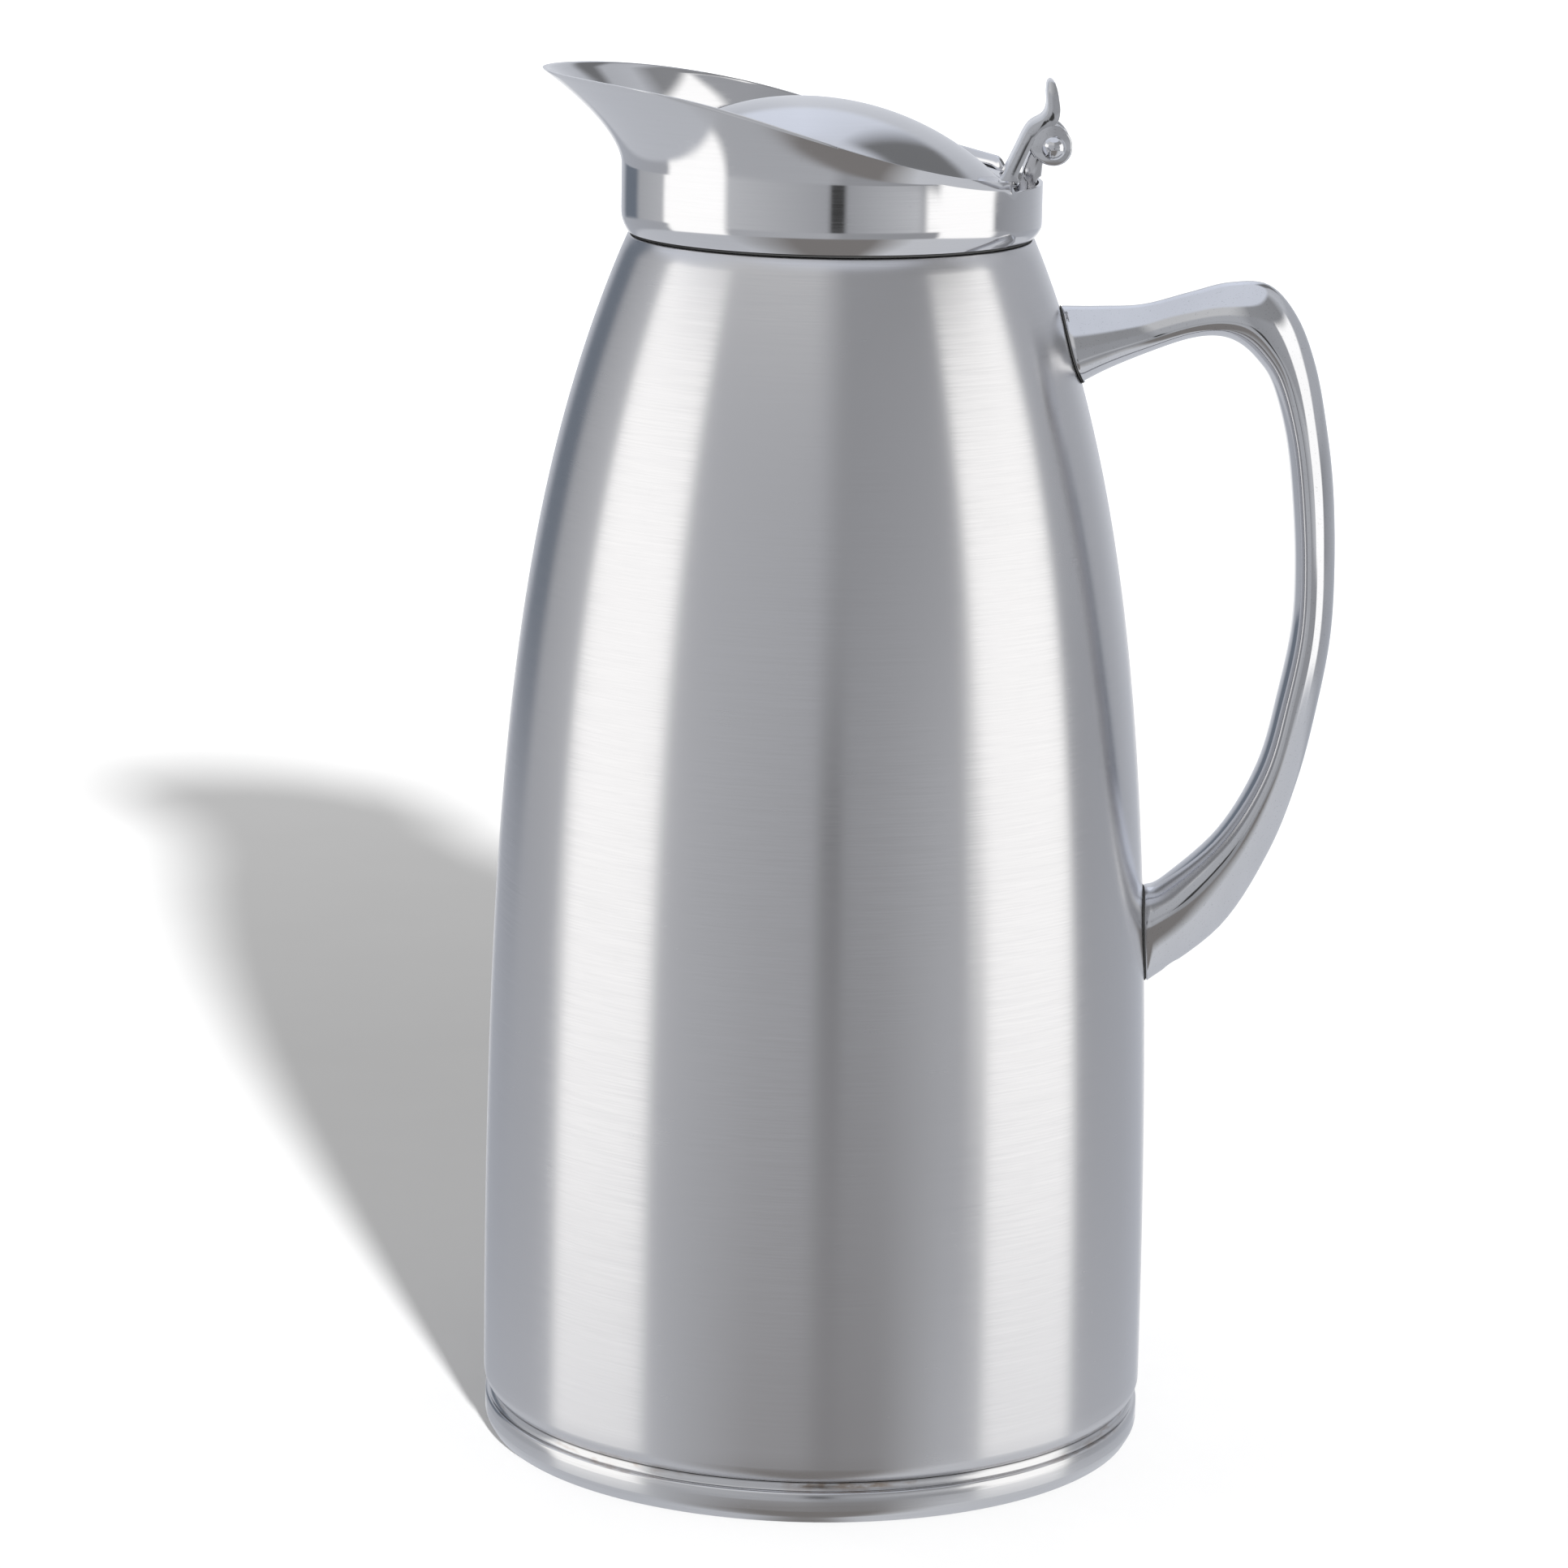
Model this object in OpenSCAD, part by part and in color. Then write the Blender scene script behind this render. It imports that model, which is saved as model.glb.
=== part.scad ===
// Hinged-lid insulated coffee server: a double-walled steel vessel with a cast handle, a pouring
// collar with a wide beak, and a domed lid that lifts on a rear hinge when its thumb lever is pressed.
// Millimetres, +Z up, the spout points along -X, the resting plane is z = 0.

/* [Body] */
// Greatest radius of the outer shell
shell_r = 67.4; // [66:0.1:70]
// Height of the shell's top edge
shell_top_z = 244; // [242:0.5:246]
// Height at which the shell starts to draw in
belly_z = 20; // [16:1:40]
// Sheet thickness of shell and liner
wall = 0.8; // [0.7:0.05:1.1]
// Vacuum gap between shell and liner
vacuum_gap = 5.4; // [4.5:0.1:6.5]
// Inner radius of the liner's neck
neck_r = 34; // [32:0.5:34.5]

/* [Pouring collar] */
// Outer radius of the collar's straight band
band_r = 41.5; // [41.3:0.1:42]
// Height of the rim above the body axis
rim_mid_z = 265.8; // [264:0.1:268]
// Rise of the rim from the axis towards the tip
rim_rise = 11.5; // [8:0.1:13]
// Reach of the beak past the round part of the rim
beak_reach = 14.9; // [10:0.1:18]
// Angle from the tip at which the beak runs out into the round rim
beak_half_angle = 65; // [50:1:80]

/* [Lid] */
// Backward tilt of the lid, in degrees
lid_tilt = 8; // [7:0.5:9]
// Radius of the lid's dome where it meets the flange
dome_base_r = 33; // [30:0.5:34]
// Spherical radius of the dome
dome_sphere_r = 56; // [50:1:70]
// Outer radius of the lid's flange
lid_r = 37; // [36:0.1:37.2]
// Clearance between the closed lid's seal and its seat
seal_gap = 0.3; // [0.2:0.05:0.6]

/* [Hinge] */
// Distance of the hinge pin from the body axis
hinge_x = 43.1; // [42.8:0.1:43.4]
// Height of the hinge pin
hinge_z = 262.7; // [262:0.1:263]
// Radius of the hinge pin
pin_r = 1.5; // [1.3:0.05:1.6]
// Half width of the lever across its cheeks
lever_half_w = 6.4; // [6:0.1:7]

/* [Handle] */
// Width of the grip
grip_w = 14.5; // [13:0.5:20]
// Width of the upper boss against the shell
boss_w = 16.5; // [14:0.5:20]
// Width of the foot against the shell
foot_w = 14.5; // [12:0.5:18]

/* [Hidden] */
$fn = 96;
EPS = 0.05;                     // gap left between neighbouring pieces that touch
lean_drop = 10;                 // slow part of the shell's draw-in
neck_drop = 17.2;               // fast part of the shell's draw-in
neck_power = 4.4;
shell_steps = 40;
shell_bottom_z = 8.2;
corner_r = 4;                   // rounding of the shell's lower corner
liner_floor_z = 20;
liner_corner_r = 14;
liner_joint_z = 190;            // welded joint between the liner's lower part and its neck part
flange_z = shell_top_z + 3;     // underside of the liner's top flange
collar_z = shell_top_z + 0.75;  // lower edge of the collar
flare_z = shell_top_z + 14;     // where the collar starts to flare into the beak
rim_r = 42.5;                   // radius of the round part of the rim
rim_run = 38;                   // length over which the rim's slope levels out
flare_power = 1.6;
notch_half_angle = 38;          // rear part of the rim, cut lower for the lever
notch_z = shell_top_z + 11.3;
collar_turns = 96;
flare_steps = 12;
seat_r = band_r - wall - 0.2;
lid_x = 0.5;                    // centre of the dome's base circle
lid_z = 260;
dome_drop = sqrt(pow(dome_sphere_r, 2) - pow(dome_base_r, 2));
skirt_h = 3;                    // depth of the lid's turned-down edge
gasket_bottom = -4.8;
seat_plane = gasket_bottom - seal_gap;
barrel_half_w = 4.4;
barrel_r = 3.1;
bush_r = pin_r + 0.4;
knuckle_r = 3.75;
cheek_inner = barrel_half_w + 0.2;
ball_r = 2.4;
gasket_t = 0.35;                // thickness of the pads under the handle's ends
upper_stud_z = 224.5;
lower_stud_z = 103.5;
stud_r = 3;
ring_lip_r = 67.1;
ring_top_z = 8;

// ---- outlines ----

// Outer radius of the shell at a height
function shell_radius(z) =
  let (t = max(0, (z - belly_z) / (shell_top_z - belly_z)))
  shell_r - lean_drop * pow(t, 2) - neck_drop * pow(t, neck_power);

// Heights spread evenly between two ends
function spread(a, b, n) = [for (i = [0:n]) a + (b - a) * i / n];

// Points of an arc in a profile, from angle a0 to a1
function arc(cx, cz, r, a0, a1, n = 8) =
  [for (a = spread(a0, a1, n)) [cx + r * cos(a), cz + r * sin(a)]];

// The reversed list, for the return leg of a wall
function back(list) = [for (i = [len(list) - 1:-1:0]) list[i]];

corner_turn = 50;               // the corner stops short of horizontal, where the base ring hides it
corner_z = shell_bottom_z + corner_r * sin(corner_turn);

function shell_line(inset) = concat(
  arc(shell_r - corner_r, corner_z, corner_r - inset, -corner_turn, 0),
  [for (z = spread(corner_z + 3, shell_top_z, shell_steps)) [shell_radius(z) - inset, z]]
);

function liner_radius(z, inset) =
  max(neck_r + wall, shell_radius(z) - wall - vacuum_gap) - inset;

function liner_wall(inset, low, high, steps) =
  [for (z = spread(low, high, steps)) [liner_radius(z, inset), z]];

function liner_line(inset) = concat(
  [[0, liner_floor_z + inset]],
  arc(
    liner_radius(liner_floor_z + liner_corner_r, 0) - liner_corner_r,
    liner_floor_z + liner_corner_r, liner_corner_r - inset, -90, 0
  ),
  liner_wall(inset, liner_floor_z + liner_corner_r + 5, liner_joint_z, 24)
);

// Radius of the rim, by the angle from the beak's tip
function rim_radius(a) =
  rim_r + (abs(a) < beak_half_angle ? beak_reach * pow(cos(90 * a / beak_half_angle), 2) : 0);

// 1 in the middle of the rear notch, 0 on the rest of the rim
function notch(a) =
  let (d = (180 - abs(a)) / notch_half_angle)
  d > 1 ? 0 : d < 0.8 ? 1 : (1 - d) / 0.2;

function tanh(x) = (exp(x) - exp(-x)) / (exp(x) + exp(-x));

function rim_height(a) =
  let (free = rim_mid_z + rim_rise * tanh(rim_radius(a) * cos(a) / rim_run), n = notch(a))
  free * (1 - n) + notch_z * n;

// How much of the flare is left at an angle: none in the notch
function flare_reach(a) = (rim_radius(a) - band_r) * (1 - notch(a));

// Height at which the band hands over to the flare
function flare_base(a) = min(flare_z, rim_height(a) - 2);

// One point of the collar's skin; u is 0 at the bottom of the flare and 1 at the rim
function flare_point(a, u, inset) =
  let (
    thin = inset * (1 + 0.6 * u * flare_reach(a) / beak_reach),
    r = band_r + flare_reach(a) * pow(u, flare_power) - thin,
    z = flare_base(a) + (rim_height(a) - flare_base(a)) * u
  )
  [-r * cos(a), -r * sin(a), z];

// The band below the flare, with its rounded lower edge
function band_point(a, v, inset) =
  let (
    tuck = 1.2 * pow(1 - min(1, v / 0.3), 2),
    low = inset > 0 ? 0.2 : 0,
    r = band_r - tuck - inset + low * (1 - v)
  )
  [-r * cos(a), -r * sin(a), collar_z + (flare_base(a) - collar_z) * v];

// ---- helpers ----

module turned(points) {
  rotate_extrude() polygon(points);
}

// A closed skin through rings of points that all have the same count
module loft(rings, closed = false) {
  n = len(rings[0]);
  m = len(rings);
  sides = [
    for (j = [0:m - (closed ? 1 : 2)], i = [0:n - 1])
    let (k = (j + 1) % m, l = (i + 1) % n)
    each [[j * n + i, j * n + l, k * n + l], [j * n + i, k * n + l, k * n + i]]
  ];
  ends = closed ? [] : [[for (i = [n - 1:-1:0]) i], [for (i = [0:n - 1]) (m - 1) * n + i]];
  polyhedron([for (r = rings) each r], concat(sides, ends), convexity = 8);
}

// Place a piece in the lid's own tilted frame
module on_lid() {
  translate([lid_x, 0, lid_z]) rotate([0, lid_tilt, 0]) children();
}

// A prism across the hinge from an outline in the XZ plane
module across(y0, y1, outline) {
  translate([0, y1, 0]) rotate([90, 0, 0]) linear_extrude(y1 - y0) polygon(outline);
}

module pin_bar(r, y0, y1) {
  translate([hinge_x, y1, hinge_z]) rotate([90, 0, 0]) cylinder(r = r, h = y1 - y0);
}

// ---- vessel ----

module outer_shell() {
  tuck_r = shell_radius(shell_top_z) - 1;
  outer = concat(shell_line(0), [[tuck_r, shell_top_z], [tuck_r, flange_z - EPS]]);
  inner = concat(
    [for (p = shell_line(wall)) if (p[1] < shell_top_z - 2) p],
    [[tuck_r - wall, shell_top_z - 1], [tuck_r - wall, flange_z - EPS]]
  );
  color("silver") turned(concat(outer, back(inner)));
}

module inner_liner() {
  color("gainsboro") turned(concat(liner_line(0), back(liner_line(wall))));
}

module liner_neck() {
  lip_r = band_r - wall - 0.7;
  low = liner_joint_z + EPS;
  outer = concat(liner_wall(0, low, flange_z, 24), [[lip_r, flange_z], [lip_r, flange_z + wall]]);
  inner = concat(liner_wall(wall, low, flange_z, 24), [[neck_r, flange_z + wall]]);
  color("gainsboro") turned(concat(outer, back(inner)));
}

module outer_bottom() {
  edge_r = shell_r - wall - EPS;
  web_z = 13;
  color("silver") difference() {
    turned([
      [0, web_z + 2], [40, web_z + 2], [46, web_z], [edge_r - 1, web_z], [edge_r, web_z + 1],
      [edge_r, web_z + 5], [edge_r - 1, web_z + 5], [edge_r - 1, web_z + 1.4],
      [46.4, web_z + 1], [40.4, web_z + 3], [0, web_z + 3],
    ]);
    translate([0, 0, web_z]) cylinder(r = 1.2, h = 5);
  }
}

module getter_cup() {
  color("dimgray") translate([22, 0, 16 + EPS]) difference() {
    cylinder(r = 5, h = 2.2);
    translate([0, 0, 0.5]) cylinder(r = 4.5, h = 3);
  }
}

module getter_tablet() {
  color("black") translate([22, 0, 16.5 + 2 * EPS]) cylinder(r = 4.4, h = 1.4);
}

module seal_off_cap() {
  color("darkgray") translate([0, 0, 15 - EPS]) mirror([0, 0, 1])
    rotate_extrude() polygon([[0, 0], [5, 0], [5, 0.8], [3, 2.4], [0, 2.4]]);
}

module base_ring() {
  sleeve_r = 65;
  color("lightsteelblue") turned(concat(
    [[sleeve_r - 2, 0], [66, 0]],
    arc(ring_lip_r - 2.6, 2.6, 2.6, -35, 0, 5),
    [[ring_lip_r, 5.9], [ring_lip_r - 0.4, 6.3], [66.3, 6.3], [65.9, 6.7], [65.8, ring_top_z]],
    [[sleeve_r, ring_top_z], [sleeve_r, 12.4], [sleeve_r - 1, 12.9], [sleeve_r - 2, 12.9]]
  ));
}

module base_cover() {
  color("gray") turned([
    [0, 3.4], [48, 3.4], [50, 1.8], [59, 1.8], [61, 3.4], [63 - EPS, 3.4],
    [63 - EPS, 6], [62.2, 6], [62.2, 4.2], [60.7, 4.2], [58.7, 2.6], [50.3, 2.6], [48.3, 4.2], [0, 4.2],
  ]);
}

module base_pad() {
  color("black") turned([
    [0, 0], [58, 0], [58.4, 0.4], [58.4, 1.75], [49.8, 1.75], [47.8, 3.35], [0, 3.35],
  ]);
}

module neck_gasket() {
  in_r = shell_radius(shell_top_z) - 1 + EPS;
  color("black") turned([
    [in_r, shell_top_z + EPS], [39.9, shell_top_z + EPS],
    [39.9, collar_z - EPS], [in_r, collar_z - EPS],
  ]);
}

module pour_collar() {
  turns = [for (i = [0:collar_turns - 1]) -180 + 360 * i / collar_turns];
  levels = concat(
    [for (v = [0, 0.05, 0.11, 0.18, 0.3]) [for (a = turns) band_point(a, v, 0)]],
    [for (u = spread(0, 1, flare_steps)) [for (a = turns) flare_point(a, u, 0)]],
    [for (u = spread(1, 0, flare_steps)) [for (a = turns) flare_point(a, u, wall)]],
    [for (v = [0.3, 0.11, 0]) [for (a = turns) band_point(a, v, wall)]]
  );
  color("silver") loft(levels, closed = true);
}

module lid_seat() {
  color("gainsboro") difference() {
    translate([0, 0, flange_z + wall + EPS]) cylinder(r = seat_r, h = 16);
    on_lid() translate([-60, -60, seat_plane]) cube([120, 120, 30]);
    translate([0, 0, flange_z]) cylinder(r = neck_r, h = 20);
  }
}

module hinge_bracket() {
  foot_z = 250.6;
  inner_x = 38.2;
  plate_x = 40.1;
  color("silver") difference() {
    union() {
      across(-barrel_half_w, barrel_half_w, [
        [inner_x, foot_z], [plate_x, foot_z], [plate_x, 256], [41, 256.6], [41.2, 259.4],
        [44, 260.4], [43, 263.5], [40.4, 263.5], [39.3, 262.3], [38.4, 260.3], [37.6, 258],
        [37.5, 256.4], [inner_x, 255.4],
      ]);
      pin_bar(barrel_r, -barrel_half_w, barrel_half_w);
    }
    pin_bar(bush_r + 0.02, -10, 10);
  }
}

module hinge_bush() {
  color("goldenrod") difference() {
    pin_bar(bush_r, -barrel_half_w, barrel_half_w);
    pin_bar(pin_r + 0.05, -10, 10);
  }
}

// ---- handle ----

// Stations along the handle: outer edge [x, z], inner edge [x, z], width
stations = [
  [[46.3, 230.8], [49.9, 215.6], boss_w],
  [[53.5, 230.9], [55.5, 218.6], boss_w * 0.86],
  [[62, 231.4], [63.5, 222], grip_w * 0.76],
  [[71, 233.9], [71, 224.7], grip_w * 0.8],
  [[79, 236], [76.5, 225.4], grip_w * 0.9],
  [[86.8, 235.6], [80.8, 224.2], grip_w * 0.97],
  [[92.6, 229.4], [84.6, 221], grip_w],
  [[96.6, 219.6], [88, 216], grip_w],
  [[99.2, 207.6], [91, 206], grip_w],
  [[101, 195], [92.7, 194.6], grip_w],
  [[101.8, 180], [93.8, 180], grip_w],
  [[101.5, 165.5], [93.6, 166.6], grip_w],
  [[99.3, 151], [91.2, 152.6], grip_w],
  [[95.9, 135.7], [87.6, 138.2], grip_w * 0.97],
  [[90.5, 120.5], [80.2, 124.9], grip_w * 0.93],
  [[81.3, 105.1], [69.6, 114.9], foot_w * 1.02],
  [[66.9, 93.5], [66.1, 113.2], foot_w],
];
section_points = 28;
steps_per_station = 3;
section_power = 0.95;           // below 1 makes the section squarer than an ellipse
section_shift = 0.35;           // moves the widest point towards the inner edge

function signed_pow(x, p) = sign(x) * pow(abs(x), p);

// Smooth curve through four neighbouring values
function through(a, b, c, d, t) =
  0.5 * (2 * b + (c - a) * t + (2 * a - 5 * b + 4 * c - d) * t * t + (3 * b - a - 3 * c + d) * t * t * t);

function station(i) = stations[max(0, min(len(stations) - 1, i))];

function station_at(i, t) = [
  for (k = [0:2]) through(station(i - 1)[k], station(i)[k], station(i + 1)[k], station(i + 2)[k], t)
];

// A ring of the handle's skin, across one station
function section(s) = [
  for (i = [0:section_points - 1])
  let (
    a = 360 * i / section_points,
    across_in = signed_pow(cos(a), section_power),
    across_y = signed_pow(sin(a), section_power) * (1 - section_shift * cos(a)),
    mid = (s[0] + s[1]) / 2,
    half = (s[0] - s[1]) / 2
  )
  [mid[0] + half[0] * across_in, s[2] / 2 * across_y, mid[1] + half[1] * across_in]
];

// The same ring pressed onto the shell, at a distance from its surface
function on_shell(ring, away) = [
  for (p = ring) [sqrt(pow(shell_radius(p[2]) + away, 2) - pow(p[1], 2)), p[1], p[2]]
];

// The space inside the shell's outline and a little beyond it, beside the handle
module shell_space(away) {
  rotate_extrude() polygon(concat(
    [[20, 80]], [for (h = spread(80, 240, 40)) [shell_radius(h) + away, h]], [[20, 240]]
  ));
}

module handle() {
  last = len(stations) - 1;
  rings = concat(
    [on_shell(section(stations[0]), -2)],
    [on_shell(section(stations[0]), gasket_t + 3 * EPS)],
    [
      for (i = [0:last - 1], t = [0:steps_per_station - 1])
      if (i + t > 0) section(station_at(i, t / steps_per_station))
    ],
    [on_shell(section(stations[last]), gasket_t + 3 * EPS)],
    [on_shell(section(stations[last]), -2)]
  );
  color("lightsteelblue") difference() {
    loft(rings);
    shell_space(gasket_t + 2 * EPS);
    translate([40, 0, upper_stud_z]) rotate([0, 90, 0]) cylinder(r = stud_r + EPS, h = 18.5);
    translate([60, 0, lower_stud_z]) rotate([0, 90, 0]) cylinder(r = stud_r + EPS, h = 16.5);
    translate([54.5, 0, 210]) cylinder(r = 2, h = upper_stud_z - stud_r - 210);
    translate([71.5, 0, 90]) cylinder(r = 2, h = lower_stud_z - stud_r - 90);
  }
}

module handle_pad(s, stud_z) {
  color("black") difference() {
    intersection() {
      loft([on_shell(section(s), -2), on_shell(section(s), gasket_t + 2)]);
      shell_space(gasket_t + EPS);
    }
    shell_space(EPS);
    translate([30, 0, stud_z]) rotate([0, 90, 0]) cylinder(r = stud_r + EPS, h = 60);
  }
}

module upper_handle_pad() {
  handle_pad(stations[0], upper_stud_z);
}

module lower_handle_pad() {
  handle_pad(stations[len(stations) - 1], lower_stud_z);
}

// A stud welded to the shell, cut to the shell's outline
module stud(z, reach) {
  color("darkgray") difference() {
    translate([0, 0, z]) rotate([0, 90, 0]) cylinder(r = stud_r, h = reach);
    rotate_extrude() polygon(concat(
      [[0, 80]], [for (h = spread(80, 240, 32)) [shell_radius(h) + EPS / 2, h]], [[0, 240]]
    ));
  }
}

module upper_stud() {
  stud(upper_stud_z, 58);
}

module lower_stud() {
  stud(lower_stud_z, 76);
}

// A grub screw with a six-sided socket
module set_screw(x, z) {
  screw_h = 1.7;
  color("dimgray") translate([x, 0, z - screw_h]) difference() {
    cylinder(r = 2 - EPS, h = screw_h);
    translate([0, 0, -1]) cylinder(r = 1.15, h = 2, $fn = 6);
  }
}

module upper_set_screw() {
  set_screw(54.5, upper_stud_z - stud_r - EPS);
}

module lower_set_screw() {
  set_screw(71.5, lower_stud_z - stud_r - EPS);
}

// ---- lid ----

function dome_line(inset) =
  let (edge = asin(dome_base_r / dome_sphere_r), r = dome_sphere_r - inset)
  [for (a = spread(0, edge, 14)) [r * sin(a), r * cos(a) - dome_drop]];

rivet_x = 34.9;
rivet_y = 4.1;
rivet_r = 0.8;

module rivet_holes(z0, h) {
  for (y = [-rivet_y, rivet_y]) on_lid() translate([rivet_x, y, z0]) cylinder(r = rivet_r + 0.03, h = h);
}

module lid_dome() {
  color("silver") difference() {
    on_lid() turned(concat(
      dome_line(0),
      [[lid_r - 0.5, 0.4], [lid_r, -0.1], [lid_r, -skirt_h], [lid_r - 0.8, -skirt_h]],
      [[lid_r - 0.8, -0.6]],
      back(dome_line(0.9))
    ));
    rivet_holes(-3, 5);
  }
}

module lid_insulation() {
  foam_r = lid_r - 4.2;
  color("khaki") on_lid() turned(concat(
    [for (p = dome_line(1.0)) if (p[0] < foam_r - 2) p],
    [[foam_r - 1.5, -0.5], [foam_r, -1.2], [foam_r, -1.9], [0, -1.9]]
  ));
}

module lid_base_plate() {
  plate_r = lid_r - 0.8 - EPS;
  color("gainsboro") difference() {
    on_lid() turned([
      [0, -5.2], [32, -5.2], [33.4, -4.9], [33.4, -3], [plate_r, -3], [plate_r, -2], [0, -2],
    ]);
    rivet_holes(-2.6, 5);
  }
}

module lid_gasket() {
  color("whitesmoke") on_lid() turned([
    [33.4 + EPS, -3 - EPS], [lid_r + 0.3, -3 - EPS], [lid_r + 0.4, -3.6],
    [lid_r - 0.4, gasket_bottom], [34.2, gasket_bottom], [33.4 + EPS, -4.2],
  ]);
}

module lid_lever() {
  strap = [
    [32.6, 256.2], [33.3, 256.3], [34.1, 257.8], [36.1, 262], [37.6, 265.3], [38.9, 267],
    [40.9, 268.1], [41.7, 269.1], [41.9, 270.6], [41.8, 272.8], [41.9, 274.8], [42.6, 275.2],
    [43.4, 274.6], [44, 272], [44.3, 269.9], [44.1, 268.2], [43.4, 267], [41.6, 266.4],
    [40.2, 265.6], [39.2, 263.6], [37.6, 260], [35.9, 256.2], [36.6, 256], [36.8, 255.45],
    [32.6, 256.04],
  ];
  cheek = [
    [38.6, 262.4], [40, 265.2], [42, 266.6], [43.9, 267.6], [44.2, 266.4], [45.7, 265.3],
    [46.4, 260.9], [43.6, 258.98], [40.4, 260],
  ];
  color("lightsteelblue") difference() {
    union() {
      across(-lever_half_w, lever_half_w, strap);
      for (y = [-lever_half_w, cheek_inner]) {
        across(y, y + lever_half_w - cheek_inner, cheek);
        pin_bar(knuckle_r, y, y + lever_half_w - cheek_inner);
      }
    }
    pin_bar(barrel_r + 0.35, -cheek_inner, cheek_inner);
    pin_bar(pin_r + 0.02, -10, 10);
    on_lid() translate([-60, -60, -39.55]) cube([120, 120, 40]);
    rivet_holes(-3, 5);
  }
}

// Pins pressed up into the lever's leg, with their heads under the lid's flange
module lever_rivets() {
  color("darkgray") for (y = [-rivet_y, rivet_y])
    on_lid() translate([rivet_x, y, -1.9]) union() {
      cylinder(r = rivet_r + 0.2, h = 0.9);
      cylinder(r = rivet_r, h = 3.8);
    }
}

// Outline of a ball end that sits flat on a cheek; bore_r above 0 leaves a blind hole for the pin
function ball_line(bore_r, bore_h) =
  let (flat = -0.75)
  concat(
    [[bore_r, ball_r * flat]],
    arc(0, 0, ball_r, asin(flat), 90, 16),
    bore_r > 0 ? [[0, bore_h + ball_r * flat], [bore_r, bore_h + ball_r * flat]] : []
  );

module ball_end(bore_r, bore_h) {
  translate([hinge_x, 0, hinge_z]) rotate([-90, 0, 0])
    translate([0, 0, lever_half_w + EPS + ball_r * 0.75]) turned(ball_line(bore_r, bore_h));
}

module hinge_pin() {
  color("silver") union() {
    pin_bar(pin_r, -lever_half_w - 1, lever_half_w + 1);
    mirror([0, 1, 0]) ball_end(0, 0);
  }
}

module pin_cap() {
  color("silver") ball_end(pin_r + 0.02, 1);
}

outer_shell();
inner_liner();
liner_neck();
outer_bottom();
getter_cup();
getter_tablet();
seal_off_cap();
base_ring();
base_cover();
base_pad();
neck_gasket();
pour_collar();
lid_seat();
hinge_bracket();
hinge_bush();
handle();
upper_handle_pad();
lower_handle_pad();
upper_stud();
lower_stud();
upper_set_screw();
lower_set_screw();
lid_dome();
lid_insulation();
lid_base_plate();
lid_gasket();
lid_lever();
lever_rivets();
hinge_pin();
pin_cap();
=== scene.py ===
"""Visual model of a hinged-lid, insulated coffee server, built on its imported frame.

The classes hold their sizes in millimetres, as on the maker's drawing. The spout points along -X, the
handle stands at +X, and the resting plane is z = 0. Meshes are made in metres.
"""

import logging
import math
from collections.abc import Callable, Sequence
from dataclasses import dataclass
from enum import Enum

import bmesh
import bpy
from mathutils import Matrix, Vector


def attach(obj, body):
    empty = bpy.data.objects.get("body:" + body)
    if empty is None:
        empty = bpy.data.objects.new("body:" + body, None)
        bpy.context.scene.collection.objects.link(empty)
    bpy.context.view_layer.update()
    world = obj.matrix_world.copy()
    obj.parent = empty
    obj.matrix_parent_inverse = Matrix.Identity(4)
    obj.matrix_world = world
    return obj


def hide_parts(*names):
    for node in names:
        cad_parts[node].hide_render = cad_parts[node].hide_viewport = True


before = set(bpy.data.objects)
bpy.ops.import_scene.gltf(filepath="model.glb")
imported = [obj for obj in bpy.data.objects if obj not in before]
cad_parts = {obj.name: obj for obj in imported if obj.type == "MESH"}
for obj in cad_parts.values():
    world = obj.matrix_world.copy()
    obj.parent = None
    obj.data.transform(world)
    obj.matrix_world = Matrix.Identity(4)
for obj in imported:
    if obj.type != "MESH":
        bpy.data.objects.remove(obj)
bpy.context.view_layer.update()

log = logging.getLogger("coffee_server")

MM = 0.001
CRISP_ANGLE = 50
BRIGHTEST = 0.95
Point = tuple[float, float]
Colour = tuple[float, float, float]


class Body(Enum):
    """The two bodies that pieces ride on."""

    VESSEL = "vessel"
    LID = "lid"


class Slot(Enum):
    """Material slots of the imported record."""

    BRUSHED_STEEL = "brushed_steel"
    LINER_STEEL = "liner_steel"
    POLISHED_STEEL = "polished_steel"
    RING_STEEL = "ring_steel"
    CAST_STEEL = "cast_steel"
    SCREW_STEEL = "screw_steel"
    BUSH_BRASS = "bush_brass"
    BRAZE_BRASS = "braze_brass"
    GETTER_ALLOY = "getter_alloy"
    BLACK_RUBBER = "black_rubber"
    CLEAR_SILICONE = "clear_silicone"
    FOAM = "foam"


# ---------------------------------------------------------------- outlines


def spread(start: float, end: float, steps: int) -> list[float]:
    """Space numbers evenly between two ends.

    Args:
        start: First number.
        end: Last number.
        steps: How many gaps to make.

    Returns:
        steps + 1 numbers.
    """
    return [start + (end - start) * i / steps for i in range(steps + 1)]


def arc(centre: Point, radius: float, start: float, end: float, steps: int = 8) -> list[Point]:
    """Lay out an arc in a profile.

    Args:
        centre: Centre of the arc, across and up.
        radius: Radius of the arc.
        start: First angle in degrees, 0 along +X.
        end: Last angle in degrees.
        steps: How many straight runs stand for the arc.

    Returns:
        The arc's points in order.
    """
    angles = [math.radians(a) for a in spread(start, end, steps)]
    return [(centre[0] + radius * math.cos(a), centre[1] + radius * math.sin(a)) for a in angles]


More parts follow.
